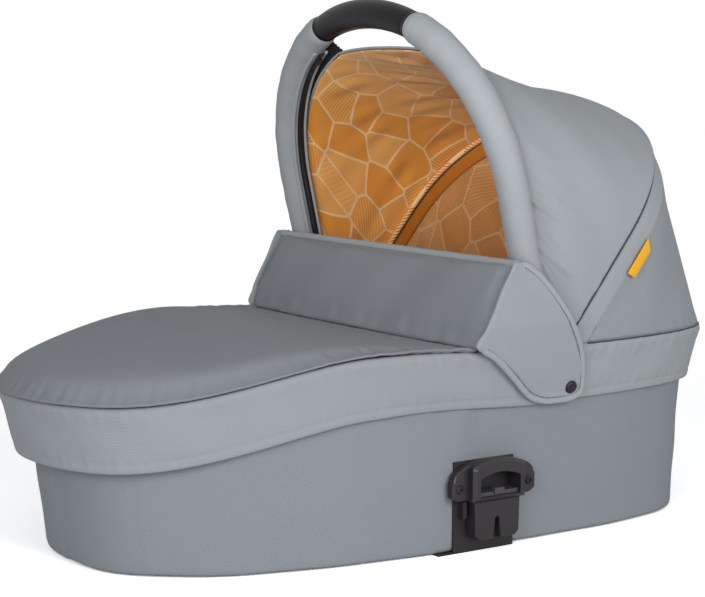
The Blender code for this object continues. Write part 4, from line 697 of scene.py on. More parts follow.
GREY_TUB = fabric("tub_cloth_mat", (137, 143, 148))
GREY_BAND = fabric("band_cloth_mat", (152, 157, 161))
# Darker than the other grey cloth: painted shade of the cover's upward face
GREY_TOP_PAINTED_SHADE = fabric("cover_cloth_painted_shade_mat", (131, 136, 141))
# Darker than the other grey cloth: painted shade of the flap's face toward the foot
GREY_FLAP_PAINTED_SHADE = fabric("flap_cloth_painted_shade_mat", (134, 139, 143))
GREY_WING = fabric("wing_cloth_mat", (154, 159, 162))
GREY_HOOD = fabric("hood_cloth_mat", (158, 163, 166))
# Darker than the hood's cloth: painted shade of the rear panel, which turns away from the lamps
GREY_REAR_PAINTED_SHADE = fabric("hood_rear_painted_shade_mat", (148, 153, 157))
GREY_BOW = fabric("bow_cloth_mat", (156, 160, 163))
GREY_EDGE = fabric("binding_mat", (160, 165, 168), pitch=0.0008)
# Dark cord for real piping, and for thin dark lines of painted shade in seams and beside cords
DARK_CORD_AND_PAINTED_SHADE = fabric("dark_cord_and_painted_shade_mat", (72, 76, 82), pitch=0.0007)
THREAD = moulded("thread_mat", (176, 180, 184), roughness=0.6, grain=3000.0)
# Dark thread, which also serves as painted shade along the wings' seams
SEAM_THREAD_AND_SHADE = moulded("seam_thread_and_shade_mat", (88, 92, 97), roughness=0.6, grain=3000.0)
PRINT = lining_print("lining_print_mat", (232, 154, 66), (242, 186, 112), (246, 212, 160))
MESH_LINING = lining_print("lining_mesh_mat", (214, 148, 84), (224, 168, 108), (230, 186, 134),
                           mesh_shade=0.5)
PRINT_CORD = striped("lining_cord_mat", (246, 208, 150), (206, 128, 52), 0.0052)
ORANGE_PLAIN = fabric("orange_cloth_mat", (200, 122, 44), pitch=0.0009)
LABEL = fabric("label_mat", (238, 176, 52), pitch=0.0007, roughness=0.5, sheen=0.05)
ZIP_TAPE = fabric("zip_tape_mat", (36, 36, 40), pitch=0.0009, sheen=0.05)
COIL = moulded("zip_coil_mat", (28, 28, 31), roughness=0.35, grain=1200.0)
GUNMETAL = moulded("stud_mat", (48, 46, 51), roughness=0.38, grain=900.0, depth=0.00004, metallic=0.4,
                   specular=0.3)
RUBBER = moulded("grip_mat", (17, 16, 18), roughness=0.42, grain=900.0, depth=0.00015, strength=0.4,
                 specular=0.17)
PLASTIC = moulded("adapter_mat", (36, 33, 37), roughness=0.4)
PLASTIC_DARK = moulded("adapter_plate_mat", (28, 26, 29), roughness=0.5)
PLASTIC_SMOOTH = moulded("slider_mat", (66, 63, 70), roughness=0.36, grain=400.0)
STEEL = moulded("steel_mat", (205, 206, 208), roughness=0.25, grain=1500.0, depth=0.00002, metallic=1.0)
ALUMINIUM = moulded("aluminium_mat", (165, 167, 171), roughness=0.35, grain=1500.0, depth=0.00003,
                    metallic=1.0)
BOARD = moulded("board_mat", (120, 110, 98), roughness=0.8, grain=300.0)
TICKING = fabric("mattress_mat", (224, 219, 208), pitch=0.0014)
SPRING_STRIP = moulded("hoop_strip_mat", (196, 142, 74), roughness=0.6)

SIDES = (("right", 1), ("left", -1))            # the near side and its mirror
plain_nodes = {"base_tray": PLASTIC_DARK, "base_board": BOARD, "rim_frame": ALUMINIUM, "bow_tube": ALUMINIUM,
               "rear_hoop": SPRING_STRIP}
for side_name, _ in SIDES:
    for piece, mat in (("adapter_plate", PLASTIC_DARK), ("adapter_housing", PLASTIC),
                       ("adapter_tongue", PLASTIC), ("release_slider", PLASTIC_SMOOTH), ("latch_pin", STEEL),
                       ("hood_hub", PLASTIC), ("hub_cap", PLASTIC), ("stud_socket", GUNMETAL),
                       ("zip_slider", GUNMETAL)):
        plain_nodes[f"{piece}_{side_name}"] = mat
    for i in (1, 2):
        plain_nodes[f"adapter_screw_{side_name}_{i}"] = GUNMETAL
for node, mat in plain_nodes.items():
    paint(frame["nodes"][node], mat)

# Tub
RIM_DROP = COVER_THICKNESS + GAP + 0.009 + 0.0008       # the tub's rim lies this far under the cover's seam
TUB_COLUMNS = 480
TUB_SEAMS = (0.122, 1.90)       # sewn seams, metres round the rim from the foot's tip
TUB_DENTS = ((0.470, 0.012, -0.0016), (0.497, 0.009, 0.0010), (0.522, 0.011, -0.0014), (0.236, 0.016, 0.0010))
TUB_FLOOR_SCALES = (0.5, 0.7, 0.9, 0.98)
TUB_EDGE_RINGS, TUB_WALL_RINGS, LINER_RINGS = 6, 34, 22
TUB_WALL_RING = 8               # from this ring on, the grid climbs
LINER_CLEAR, LINER_THICKNESS = 0.0008, 0.0018


def tub_ring(share, inset=0.0, z=None, scale=1.0):
    half = between(BASE_HALF_WIDTH, RIM_HALF_WIDTH - TUB_RIM_TUCK, share)
    foot = between(BASE_FOOT_X, TUB_FOOT_TUCK - HALF_LENGTH, share)
    head = between(BASE_HEAD_X, HALF_LENGTH - TUB_RIM_TUCK, share)
    shape = [between(low, high, share) for low, high in zip(BASE_SHAPE, RIM_SHAPE)]
    ring = plan((half - inset) * scale, (foot + inset) * scale, (head - inset) * scale, TUB_COLUMNS, shape)
    ring[:, 2] = between(TUB_FLOOR_Z, seam_z(ring[:, 0]) - RIM_DROP, share) if z is None else z
    return ring


def tub_relief(across, down):
    """Soft undulation of the stiffened cloth, and a sewn seam at the foot."""
    wave = 0.0008 * ripple(across, (0.31, 0.19, 0.12), 3) + 0.0004 * ripple(down, (0.11, 0.07), 4)
    level = (down - down[TUB_WALL_RING]) / (down[-1] - down[TUB_WALL_RING])
    along = (across[-1] - across[-1].min())[None]
    for place in TUB_SEAMS:
        seam = 0.0005 * bell(along, place + 0.004, 0.0030) - 0.0007 * bell(along, place, 0.0014)
        wave = wave + seam * ease(level / 0.05)
    for place, width, height in TUB_DENTS:
        wave = wave + height * bell(along, place, width) * ramp(level, (0.45, 0.80))
    return wave * ease(down / 0.05)


bottom = [tub_ring(0.0, TUB_EDGE_RADIUS, TUB_FLOOR_Z, scale) for scale in TUB_FLOOR_SCALES]
edge = [tub_ring(0.0, TUB_EDGE_RADIUS * (1 - math.sin(a)), TUB_FLOOR_Z + TUB_EDGE_RADIUS * (1 - math.cos(a)))
        for a in np.linspace(0, math.pi / 2, TUB_EDGE_RINGS)]
wall = [tub_ring(share) for share in np.linspace(0.04, 1.0, TUB_WALL_RINGS)]
tub = cloth("tub_cloth", np.array(bottom + edge + wall), TUB_WALL * SHEET_SHARE, closed=True,
            relief=tub_relief, capped=0)
dress(tub, GREY_TUB, "cot", ["tub_shell"])

liner_grid = np.array([tub_ring(share, TUB_WALL + LINER_CLEAR)
                       for share in np.linspace(0.14, 0.985, LINER_RINGS)])
liner = cloth("tub_inner_cloth", liner_grid, LINER_THICKNESS, closed=True,
              relief=lambda across, down: -0.0006 * (1 + ripple(across, (0.06, 0.023, 0.11), 8)))
dress(liner, ORANGE_PLAIN, "cot", ["tub_liner"])

# Bands
TIP_TUCK, TIP_TUCK_RUN = 0.006, (-0.345, -0.410)    # the hem goes in further at the foot's tip
HEM = 0.0085
BAND_ROWS, COVER_COLUMNS, HOOD_COLUMNS = 30, 420, 300
BAND_PUCKERS, BAND_SEED, HOOD_SEED = 0.0004, 11, 15
# Folds of the hood's band: place from its end, height and width
HOOD_FOLDS = ((0.0340, 0.0036, 0.0060), (0.0500, 0.0030, 0.0050), (0.0660, 0.0018, 0.0050))
HOOD_FOLD_SLANT, HOOD_FOLD_FADE = 0.45, 0.020


def band_grid(cut_x, head, count):
    rows = []
    for deep in np.linspace(0, 1, BAND_ROWS):
        tuck = np.interp(deep, BAND_DEPTHS, BAND_TUCKS)
        line = cut_line(BAND_TUCK * tuck, cut_x, head, count)
        top = seam_z(line[:, 0]) - GAP - (0 if head else COVER_THICKNESS)
        line[:, 2] = top - (band_drop(line[:, 0]) - COVER_THICKNESS) * deep
        line[:, 0] += TIP_TUCK * tuck * ramp(line[:, 0], TIP_TUCK_RUN)
        rows.append(line)
    return np.array(rows)


def band_relief(seed):
    """A turned hem, a rolled top, puckers at the seam and slack cloth between."""
    def relief(across, down):
        from_hem = down[-1][None] - down
        hem = 0.0006 * ease((HEM - from_hem) / 0.0015) - 0.0009 * bell(from_hem, HEM, 0.0011)
        roll = -0.0022 * (1 - ease(down / 0.0045))
        sewn = BAND_PUCKERS * ripple(across, (0.021, 0.034, 0.013), seed) * bell(down, 0.006, 0.010)
        slack = 0.0009 * ripple(across + down * 0.6, (0.16, 0.26, 0.09), seed + 1)
        slack *= ease(down / 0.02) * ease(from_hem / 0.02)
        gather = 0.00035 * ripple(across, (0.011, 0.017, 0.027), seed + 2) * bell(from_hem, 0.010, 0.009)
        return hem + roll + sewn + slack + gather
    return relief


def hood_band_relief(across, down):
    """The band's own relief, with soft folds that fall from the seam beside each wing."""
    from_end = np.abs(across).max(axis=1)[:, None] - np.abs(across) + HOOD_FOLD_SLANT * down
    fold = sum(height * bell(from_end, at, width) for at, height, width in HOOD_FOLDS)
    return band_relief(HOOD_SEED)(across, down) + fold * np.exp(-down / HOOD_FOLD_FADE) * ease(down / 0.004)


def band(name, node, cut_x, head, count, side, mat, relief):
    grid = band_grid(cut_x, head, count)
    skirt = cloth(name, grid, BAND_THICKNESS * BAND_SHARE, side=side, relief=relief)
    dress(skirt, mat, "cot", [node])
    normal = grid_normals(grid) * side
    down = spans(grid)[1]
    row = np.argmin(np.abs(down[-1].mean() - down[:, 0] - HEM))
    dress(stitches(name + "_stitches", grid[row] + normal[row] * THREAD_LIFT, normal[row]), THREAD, "cot")


band("cover_skirt", "cover_band", BAND_SPLIT_X - BAND_SPLIT_GAP, False, COVER_COLUMNS, 1, GREY_BAND,
     band_relief(BAND_SEED))
band("hood_skirt", "hood_band", BAND_SPLIT_X, True, HOOD_COLUMNS, -1, GREY_HOOD, hood_band_relief)

# Boot cover
COVER_ROWS, COVER_CLOSE_SHARE = 46, 0.994       # rings, and how far they shrink to the middle
COVER_EDGE_POINTS, COVER_BACK_POINTS = 340, 62
back_x = FLAP_BASE_X + FLAP_THICKNESS
middle = np.array([(back_x - HALF_LENGTH) / 2, 0, 0])
edge_line = cut_line(0.0, back_x, False, COVER_EDGE_POINTS)
back_y = np.linspace(edge_line[-1, 1], edge_line[0, 1], COVER_BACK_POINTS)[1:-1]
loop = np.vstack([edge_line, np.column_stack([np.full(len(back_y), back_x), back_y, np.zeros(len(back_y))])])


def cover_rise(scale, x):
    crown = 1 - (scale ** 20 + scale ** 9) / 2
    fade = between(COVER_FADE_SHARE, 1, ease((back_x - x) / COVER_FADE_RUN))
    return COVER_CROWN * crown * fade


rings = []
for scale in 1 - np.linspace(0, 1, COVER_ROWS) ** 1.6 * COVER_CLOSE_SHARE:
    ring = between(middle, loop, scale)
    ring[:, 2] = seam_z(ring[:, 0]) + cover_rise(scale, ring[:, 0])
    rings.append(ring)
cover_rings = np.array(rings)


def cover_relief(across, down):
    """A rolled edge with puckers along the seam, and soft slack over the middle."""
    x, y = cover_rings[..., 0], cover_rings[..., 1]
    at_seam = np.repeat(across[:1], len(across), 0)
    sewn = ripple(at_seam, (0.020, 0.033, 0.014, 0.055), 21) * bell(down, 0.009, 0.011) * 0.0008
    roll = 0.0024 * bell(down, 0.012, 0.009) - 0.0014 * (1 - ease(down / 0.004))
    soft = 0.0011 * (ripple(x + 0.4 * y, (0.17, 0.29), 22) + ripple(y - 0.3 * x, (0.15, 0.33), 23))
    return sewn + roll + soft * ramp(down, (0.02, 0.08))


cover = cloth("cover_panel", cover_rings, COVER_THICKNESS * SHEET_SHARE, closed=True, relief=cover_relief,
              capped=-1)
dress(cover, GREY_TOP_PAINTED_SHADE, "cot", ["cover_top"])

# Wind flap
FLAP_ROWS, FLAP_COLUMNS = 40, 150
FLAP_FRONT_SHARE, FLAP_REAR_SHARE = 0.35, 0.65  # of what its edges are thinner, taken off each face
FLAP_FOOT, FLAP_FOOT_ROOM = 0.012, 0.0016       # its foot draws in, for the cover when the flap lies on it
FLAP_SEWN_RUN, FLAP_FREE_RUN = 0.012, 0.060     # its foot stays flat, then it swells freely
FLAP_PLUMP, FLAP_VOXEL, FLAP_FILL = 0.0035, 0.004, 0.5
BINDING_DROP, BINDING_RADIUS, BINDING_HALF_WIDTH = 0.0015, 0.0042, 0.0035
flap_low_z = float(seam_z(FLAP_BASE_X - FLAP_BULGE)) + FLAP_FOOT_CLEAR
flap_lean = (FLAP_TOP_X - FLAP_BASE_X) / (FLAP_TOP_Z - SEAM_Z_HEAD)
flap_up = units(np.array([flap_lean, 0, 1]))
flap_back = units(np.array([1, 0, -flap_lean]))


def flap_x(z):
    return FLAP_BASE_X + flap_lean * (z - SEAM_Z_HEAD)


def wing_y(z):
    deep = (SEAM_Z_HEAD - GAP - COVER_THICKNESS - STUD_Z) / (BAND_DROP_MIDDLE - COVER_THICKNESS)
    low = RIM_HALF_WIDTH - BAND_TUCK * np.interp(deep, BAND_DEPTHS, BAND_TUCKS) + WING_HUG
    return between(low, WING_UPPER_Y, np.clip((z - STUD_Z) / (WING_BEND_Z - STUD_Z), -0.04, 1.0))


def flap_faces():
    """Front and rear face of the padded flap."""
    level = np.linspace(0, 1, FLAP_ROWS)[:, None]
    across = np.linspace(-1, 1, FLAP_COLUMNS)[None]
    z = between(flap_low_z, FLAP_TOP_Z, level)
    half = np.minimum(FLAP_HALF_WIDTH, wing_y(z - FLAP_THICKNESS * 0.6) - WING_UPPER_Y + FLAP_HALF_WIDTH)
    thick = (1 - np.abs(2 * level - 1) ** 4) * (1 - np.abs(across) ** 10)
    thinner = FLAP_THICKNESS - between(FLAP_EDGE_THICKNESS, FLAP_THICKNESS, thick)
    point = np.stack([flap_x(z) - FLAP_BULGE * (1 - level) * (1 - across ** 2), half * across,
                      z * np.ones_like(across)], axis=2)
    front = point + flap_back * (thinner * FLAP_FRONT_SHARE)[..., None]
    rear = point + flap_back * (FLAP_THICKNESS - thinner * FLAP_REAR_SHARE)[..., None]
    for face in (front, rear):
        low = face[..., 2] < flap_low_z
        face[low] += flap_up * ((flap_low_z - face[low][:, 2]) / flap_up[2])[:, None]
    return front, rear


def flap_relief(across, down):
    """Soft filling, puckers at the foot and a groove under the top binding."""
    full = down[-1].mean()
    soft = 0.0012 * ripple(across + down * 0.7, (0.19, 0.11, 0.30), 31)
    foot = 0.0008 * ripple(across, (0.045, 0.028, 0.07), 32) - FLAP_FOOT_ROOM
    top = -0.0012 * bell(down, full - 0.006, 0.002)
    edges = ease(down / 0.01) * ease((full - down) / 0.012)
    return (soft + foot * bell(down, FLAP_FOOT, FLAP_FOOT)) * edges + top


def flap_freed(at):
    return ease((at[:, 2] - flap_low_z - FLAP_SEWN_RUN) / FLAP_FREE_RUN)


flap_front, flap_rear = flap_faces()
flap = pad("flap_pad", flap_front, flap_rear, flap_relief)
dress(flap, GREY_FLAP_PAINTED_SHADE, "wind_flap", ["wind_flap"])
plump(flap, FLAP_PLUMP, FLAP_VOXEL, flap_freed)

top_line = (flap_front[-1] + flap_rear[-1]) / 2 - flap_up * BINDING_DROP
binding = pipe("flap_binding", top_line, BINDING_RADIUS, wide=BINDING_HALF_WIDTH,
               out=np.tile(flap_up, (len(top_line), 1)))
dress(binding, GREY_EDGE, "wind_flap")
stitch_row = flap_front[-3] - flap_back * THREAD_LIFT
dress(stitches("flap_stitches", stitch_row, np.tile(-flap_back, (len(stitch_row), 1))), THREAD, "wind_flap")

# Wings: level up the wing, its front edge and its rear edge, as shares
WING_EDGE_SHARES = np.array([
    (0.00, 0.656, 0.883), (0.03, 0.545, 0.972), (0.08, 0.468, 0.997), (0.16, 0.390, 1.0),
    (0.26, 0.286, 0.994), (0.36, 0.169, 0.974), (0.44, 0.0, 0.942), (0.56, 0.0, 0.877),
    (0.70, 0.0, 0.770), (0.83, 0.0, 0.648), (0.92, 0.0, 0.545), (0.985, 0.0, 0.440)])
WING_FOLLOWS_FLAP = 0.44        # from this level up its front edge is the flap's
WING_TOP_SHARE, WING_ROWS, WING_COLUMNS = 0.985, 70, 30
WING_BORDER_LIFT, WING_BORDER_POINTS, WING_BORDER_SOFTENINGS = 0.004, 180, 12
WING_BINDING_IN, WING_BINDING_RADIUS, WING_BINDING_HALF_WIDTH = 0.0022, 0.0030, 0.0038
# The wing's dark stitches nearly touch: a stitched seam, and a line of painted shade in its groove by the
# binding
WING_STITCH_IN, WING_STITCH_LENGTH = 0.0060, 0.0031


def smooth_table(at, known, values):
    """Values between known ones on a smooth line through them."""
    slope = np.gradient(values, known)
    i = np.clip(np.searchsorted(known, at) - 1, 0, len(known) - 2)
    width = known[i + 1] - known[i]
    t = (at - known[i]) / width
    return ((2 * t ** 3 - 3 * t ** 2 + 1) * values[i] + (t ** 3 - 2 * t ** 2 + t) * width * slope[i]
            + (-2 * t ** 3 + 3 * t ** 2) * values[i + 1] + (t ** 3 - t ** 2) * width * slope[i + 1])


def wing_grid():
    level = np.linspace(0, 1, WING_ROWS) ** 1.15 * WING_TOP_SHARE
    known, front_shares, rear_shares = WING_EDGE_SHARES.T
    z = between(WING_LOW_Z, FLAP_TOP_Z, level)
    flap_shares = (flap_x(between(WING_LOW_Z, FLAP_TOP_Z, known)) - FLAP_BASE_X) / WING_REACH
    front_shares = np.where(known >= WING_FOLLOWS_FLAP, flap_shares, front_shares)
    x0 = FLAP_BASE_X + WING_REACH * smooth_table(level, known, front_shares)
    x1 = FLAP_BASE_X + WING_REACH * smooth_table(level, known, rear_shares)
    y = wing_y(z)
    sweep = (WING_UPPER_Y - y) * WING_SWEEP_SHARE
    x = (x0 + sweep)[:, None] + (x1 - x0)[:, None] * np.linspace(0, 1, WING_COLUMNS)[None]
    return np.dstack([x, np.repeat(-y[:, None], WING_COLUMNS, 1), np.repeat(z[:, None], WING_COLUMNS, 1)])


def wing_border(face, out):
    """The free border, the way out of the cloth along it, and the way in over the cloth."""
    low = int((face[:, 0, 2] < SEAM_Z_HEAD + WING_BORDER_LIFT).sum())
    line, outs = (np.vstack([grid[:low, 0][::-1], grid[0, 1:], grid[1:, -1]]) for grid in (face, out))
    apart = np.concatenate([[True], np.linalg.norm(np.diff(line, axis=0), axis=1) > 1e-5])
    line, outs = line[apart], outs[apart]
    goals = np.linspace(0, lengths(line)[-1], WING_BORDER_POINTS)
    line, outs = at_lengths(line, line, goals), units(at_lengths(line, outs, goals))
    for _ in range(WING_BORDER_SOFTENINGS):
        line[1:-1] = (line[:-2] + line[1:-1] * 2 + line[2:]) / 4
    inward = np.cross(outs, units(np.gradient(line, axis=0)))
    return line, outs, inward * np.sign(((face.mean(axis=(0, 1)) - line) * inward).sum(axis=1).mean())


def wing_relief(across, down):
    soft = ripple(across + down * 0.8, (0.07, 0.12), 41)
    return 0.0008 * soft * ease((np.abs(across).max() - np.abs(across)) / 0.02)


wing_inner = wing_grid()
wing_out = grid_normals(wing_inner)
wing_out *= np.sign((wing_out * (0, -1, 0)).sum(axis=2))[..., None]
wing_face = wing_inner + wing_out * WING_THICKNESS
wing_side = outer_side(wing_face, (0, 0, 0))
line, outs, inward = wing_border(wing_face, wing_out)
binding_line = line + inward * WING_BINDING_IN - outs * WING_THICKNESS / 2
stitch_line = line + inward * WING_STITCH_IN + outs * THREAD_LIFT * 2
for side_name, flip in SIDES:
    way, body = np.array([1, flip, 1]), f"wing_{side_name}"
    piece = cloth(f"wing_cloth_{side_name}", wing_face * way, WING_THICKNESS * SHEET_SHARE,
                  side=wing_side * flip, relief=wing_relief)
    dress(piece, GREY_WING, body, [body])
    piece = pipe(f"wing_binding_{side_name}", binding_line * way, WING_BINDING_RADIUS,
                 wide=WING_BINDING_HALF_WIDTH, out=outs * way)
    dress(piece, GREY_EDGE, body)
    piece = stitches(f"wing_stitches_and_shade_{side_name}", stitch_line * way, outs * way, WING_STITCH_LENGTH)
    dress(piece, SEAM_THREAD_AND_SHADE, body)

# Press studs: radius and height of the cap's profile, as shares
STUD_PROFILE_SHARES = ((0.02, 0.92), (0.30, 0.95), (0.42, 0.80), (0.50, 0.80), (0.58, 0.98), (0.75, 0.95),
                       (0.92, 0.70), (1.0, 0.35), (1.0, 0.0))
STUD_GROWTH = 1.1172            # the cap's rim, over the CAD's plain disc
STUD_THICKNESS, STUD_SIDES = 0.0032, 40
for side_name, flip in SIDES:
    low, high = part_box(f"stud_cap_{side_name}")
    slope = math.atan2(WING_UPPER_Y - wing_y(STUD_Z), WING_BEND_Z - STUD_Z)
    out = np.array([0, -flip * math.cos(slope), -math.sin(slope)])
    up = np.array([0, out[2], -out[1]])
    turn = 2 * np.pi * np.arange(STUD_SIDES)[:, None] / STUD_SIDES
    ring = (up * np.cos(turn) + np.cross(out, up) * np.sin(turn)) * (high.z - low.z) / 2 * STUD_GROWTH
    rings = [np.array((low + high) / 2) + ring * size + out * STUD_THICKNESS * (height - 0.5)
             for size, height in STUD_PROFILE_SHARES]
    stud = new_mesh(f"stud_{side_name}", np.vstack(rings), tube_faces(len(rings), STUD_SIDES))
    dress(stud, GUNMETAL, f"wing_{side_name}", [f"stud_cap_{side_name}"])

# Hood
ARCH_POINTS, FRONT_STATIONS, REAR_STATIONS = 361, 64, 56
CORD_SIDES = 8                  # of the thin cords and painted shade lines along the hood's seams
HOOD_SEAM_SHADE_RADIUS, HOOD_SEAM_SHADE_GROWTH = 0.0011, 0.001      # the painted shade line along the rear panel's seam: its radius, and how far that lies out, over its size
FRONT_FOOT, REAR_FOOT, LINING_FOOT_LIFT = 0.004, 0.010, 0.0132
FRONT_FULL = 0.0060             # it stands out by this before the rear hoop
# Creases on both sides: place across, lean, height, width and run
FRONT_CREASES = ((0.285, 0.25, 0.0022, 0.007, 0.055), (0.335, 0.5, 0.0030, 0.010, 0.070),
                 (0.372, 0.8, 0.0026, 0.009, 0.060), (0.240, 0.1, 0.0012, 0.008, 0.045))
# Pinches beside the bow: place across, depth, width and run
FRONT_PINCHES = ((-0.318, 0.0046, 0.0044, 0.032), (-0.368, 0.0040, 0.0042, 0.028),
                 (0.314, 0.0044, 0.0044, 0.032), (0.371, 0.0038, 0.0042, 0.028))
hood_inside = tuple(HINGE)


def hoop_drop(out, along, up):
    """How far the hoop's sleeve lies in from the arch, whose top is at up."""
    return out * (-HOOP_SLEEVE_DROP * np.clip(out @ up, 0, None) ** 2 * along / HOOP_SLEEVE_WIDTH)[:, None]


def bow_section(inset, clear):
    points = flat_arch(HOOP_HALF_WIDTH - inset, BOW_SLEEVE_START, BOW_STRAIGHT, CANOPY_FRONT_REACH - inset,
                       BOW_POWER, ARCH_POINTS)
    points[:, 0] -= CANOPY_SCOOP * np.clip(1 - (points[:, 1] / CANOPY_SCOOP_HALF_WIDTH) ** 2, 0, None)
    return BOW_BASE_X + clear / math.cos(math.radians(BOW_LEAN)), HINGE.z, BOW_LEAN, points


def hoop_section(inset, shift, start):
    lift = shift * math.tan(math.radians(HOOP_LEAN))
    points = flat_arch(HOOP_HALF_WIDTH - inset, start + lift, HOOP_STRAIGHT, HOOP_REACH - inset, HOOP_POWER,
                       ARCH_POINTS)
    if shift > 0:
        line = np.column_stack([np.zeros(len(points)), points[:, 1], points[:, 0]])
        dropped = line + hoop_drop(outward(line, np.array([1.0, 0, 0])), shift, np.array([0, 0, 1.0]))
        points = dropped[:, [2, 1]]
    points[:, 0] -= lift
    return HOOP_BASE_X + shift / math.cos(math.radians(HOOP_LEAN)), HINGE.z, HOOP_LEAN, points


def rim_section(inset, z):
    """The rear panel's foot along the rim, as a section that lies flat."""
    line = cut_line(CANOPY_RIM_INSET + inset, rear_foot_x, True, ARCH_POINTS)
    return rear_foot_x, z, 90.0, np.column_stack([line[:, 0] - rear_foot_x, line[:, 1]])


def fan(first, last):
    """A sheet that turns from one arch to another and dips between them."""
    rows = []
    for k in np.linspace(0, 1, FRONT_STATIONS):
        base_x, base_z, lean, points = (between(a, b, k) for a, b in zip(first, last))
        dip = CANOPY_SAG * 4 * k * (1 - k) * (np.clip(points[:, 0], 0, None) / first[3][:, 0].max()) ** 2
        rows.append(in_space((base_x, base_z, lean, points - np.column_stack([dip, np.zeros(len(dip))]))))
    return np.array(rows)


def drape(first, last):
    """A sheet that runs straight from one section to another, a little sunk."""
    starts, ends = in_space(first), in_space(last)
    centre = np.array([first[0], 0, first[1]])
    rows = []
    for k in np.linspace(0, 1, REAR_STATIONS):
        line = between(starts, ends, k)
        sunk = CANOPY_TUCK * ease((line[:, 2] - SEAM_Z_HEAD) / DIP_FADE_HEIGHT) * 4 * k * (1 - k)
        rows.append(line + units(centre - line) * sunk[:, None])
    return np.array(rows)


def front_relief(across, down):
    """Creases that run back from the bow on both sides, and slack cloth."""
    reach = np.abs(across)
    soft = 0.0012 * ripple(across * 0.5 + down, (0.15, 0.24, 0.10), 51)
    height_now = soft * ease(down / 0.03) * ease((down[-1][None] - down) / 0.03)
    for at, lean, height, width, run in FRONT_CREASES:
        centre = at + lean * down
        crease = bell(reach, centre, width) - 0.7 * bell(reach, centre + width * 1.7, width)
        height_now += height * crease * np.exp(-down / run) * ease(down / 0.008)
    for at, height, width, run in FRONT_PINCHES:
        pinch = 0.8 * bell(across, at + 1.9 * width, width) - bell(across, at, width)
        height_now += height * pinch * np.exp(-down / run) * ease(down / 0.004)
    return height_now + FRONT_FULL * bell(down / down[-1].max(), 0.78, 0.20) * bell(across, 0.0, 0.20)


def rear_relief(across, down):
    left = down[-1][None] - down
    soft = 0.0012 * ripple(across * 0.7 + down * 0.6, (0.17, 0.11, 0.29), 61)
    seam = 0.0005 * ripple(across, (0.019, 0.031, 0.047), 62) * bell(left, 0.006, 0.009)
    return soft * ease(down / 0.03) * ease(left / 0.03) + seam - 0.0018 * (1 - ease(left / 0.0045))


def lining_front_relief(across, down):
    folds = ripple(0.8 * np.abs(across) + 0.9 * down, (0.052, 0.083, 0.034), 71)
    share = 0.6 + 0.4 * ripple(np.abs(across) - down, (0.16, 0.11), 73)
    return -0.0013 * (1.4 + folds * share) * ease(down / 0.02)


def lining_rear_relief(across, down):
    return -0.0022 * (1 + ripple(across + 0.3 * down, (0.07, 0.12, 0.045), 72)) * ease(down / 0.03)


def hood_panel(node, grid, thickness, relief, mat, rests_on, bodies, lean, high, half):
    """A panel of the hood, baked in place where it stands."""
    piece = cloth(node + "_cloth", grid, thickness * HOOD_SHARE, side=outer_side(grid, hood_inside),
                  relief=relief)
    dress(piece, mat, None, [node])
    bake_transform(piece)


inset = CANOPY_THICKNESS + LINING_CLEAR
front_clear = SLEEVE_RADIUS_HIGH + GAP * 2
hoop_rear = HOOP_SLEEVE_WIDTH + GAP
rear_foot_z = SEAM_Z_HEAD + GAP * 3
rear_step = hoop_rear * lean_side(HOOP_LEAN)
rear_foot_x = (HOOP_BASE_X + rear_step[0]
               + (rear_foot_z - HINGE.z - rear_step[2]) * math.tan(math.radians(HOOP_LEAN)))
canopy_front_grid = fan(bow_section(0.0, front_clear), hoop_section(0.0, -GAP, FRONT_FOOT))
canopy_rear_grid = drape(hoop_section(0.0, hoop_rear, REAR_FOOT), rim_section(0.0, rear_foot_z))
lining_front_grid = fan(bow_section(inset, front_clear),
                        hoop_section(inset, -GAP, FRONT_FOOT + LINING_FOOT_LIFT))
lining_rear_grid = drape(hoop_section(inset, hoop_rear, REAR_FOOT + LINING_FOOT_LIFT),
                         rim_section(inset, SEAM_Z_HEAD + LINING_LIFT))
front_belt = ("bow_tube", ("rear_hoop", "front_bow"), 13.0, 0.25, 0.160)
rear_belt = ("rim_frame", ("cot", "rear_hoop"), 64.0, 0.20, 0.130)
hood_panel("canopy_front", canopy_front_grid, CANOPY_THICKNESS, front_relief, GREY_HOOD, *front_belt)
hood_panel("canopy_rear", canopy_rear_grid, CANOPY_THICKNESS, rear_relief, GREY_REAR_PAINTED_SHADE, *rear_belt)
hood_panel("lining_front", lining_front_grid, LINING_THICKNESS, lining_front_relief, PRINT, *front_belt)
hood_panel("lining_rear", lining_rear_grid, LINING_THICKNESS, lining_rear_relief, MESH_LINING, *rear_belt)

# A thin dark pipe of painted shade along the rear panel's seam with the hood's band
seam_row = canopy_rear_grid[-1]
seam_row = seam_row + (seam_row - seam_row.mean(axis=0)) * (1, 1, 0) * HOOD_SEAM_SHADE_GROWTH
dress(pipe("hood_seam_painted_shade", seam_row, HOOD_SEAM_SHADE_RADIUS, CORD_SIDES), DARK_CORD_AND_PAINTED_SHADE, "cot")

# Rear hoop's sleeve, its dark seam, the inner cord and the label
HOOP_POINTS, HOOP_FOOT = 241, -0.004
SLEEVE_ROWS, SLEEVE_CLOTH, SLEEVE_STITCH_ROW = 14, 0.0019, -3
SEAM_CORD_RADIUS, SEAM_CORD_FRONT, SEAM_CORD_OUT = 0.0012, 0.0002, 0.0003
INNER_BAND_ROWS, INNER_BAND_CLOTH, INNER_BAND_SINK = 9, 0.0009, 0.0030
INNER_CORD_IN, INNER_CORD_RADIUS, INNER_CORD_START = 0.0036, 0.0034, 0.030
INNER_CORD_BACK, SHADOW_CORD_BACK, SHADOW_CORD_RADIUS = 0.002, 0.0062, 0.0014
LABEL_ACROSS, LABEL_CUTS = 0.012, (0.002, 0.010)    # width, and what its outer edge loses at each end
LABEL_LIFT, LABEL_CURL, LABEL_CLOTH, LABEL_ROWS, LABEL_POINTS = 0.0043, 0.0006, 0.0008, 8, 12
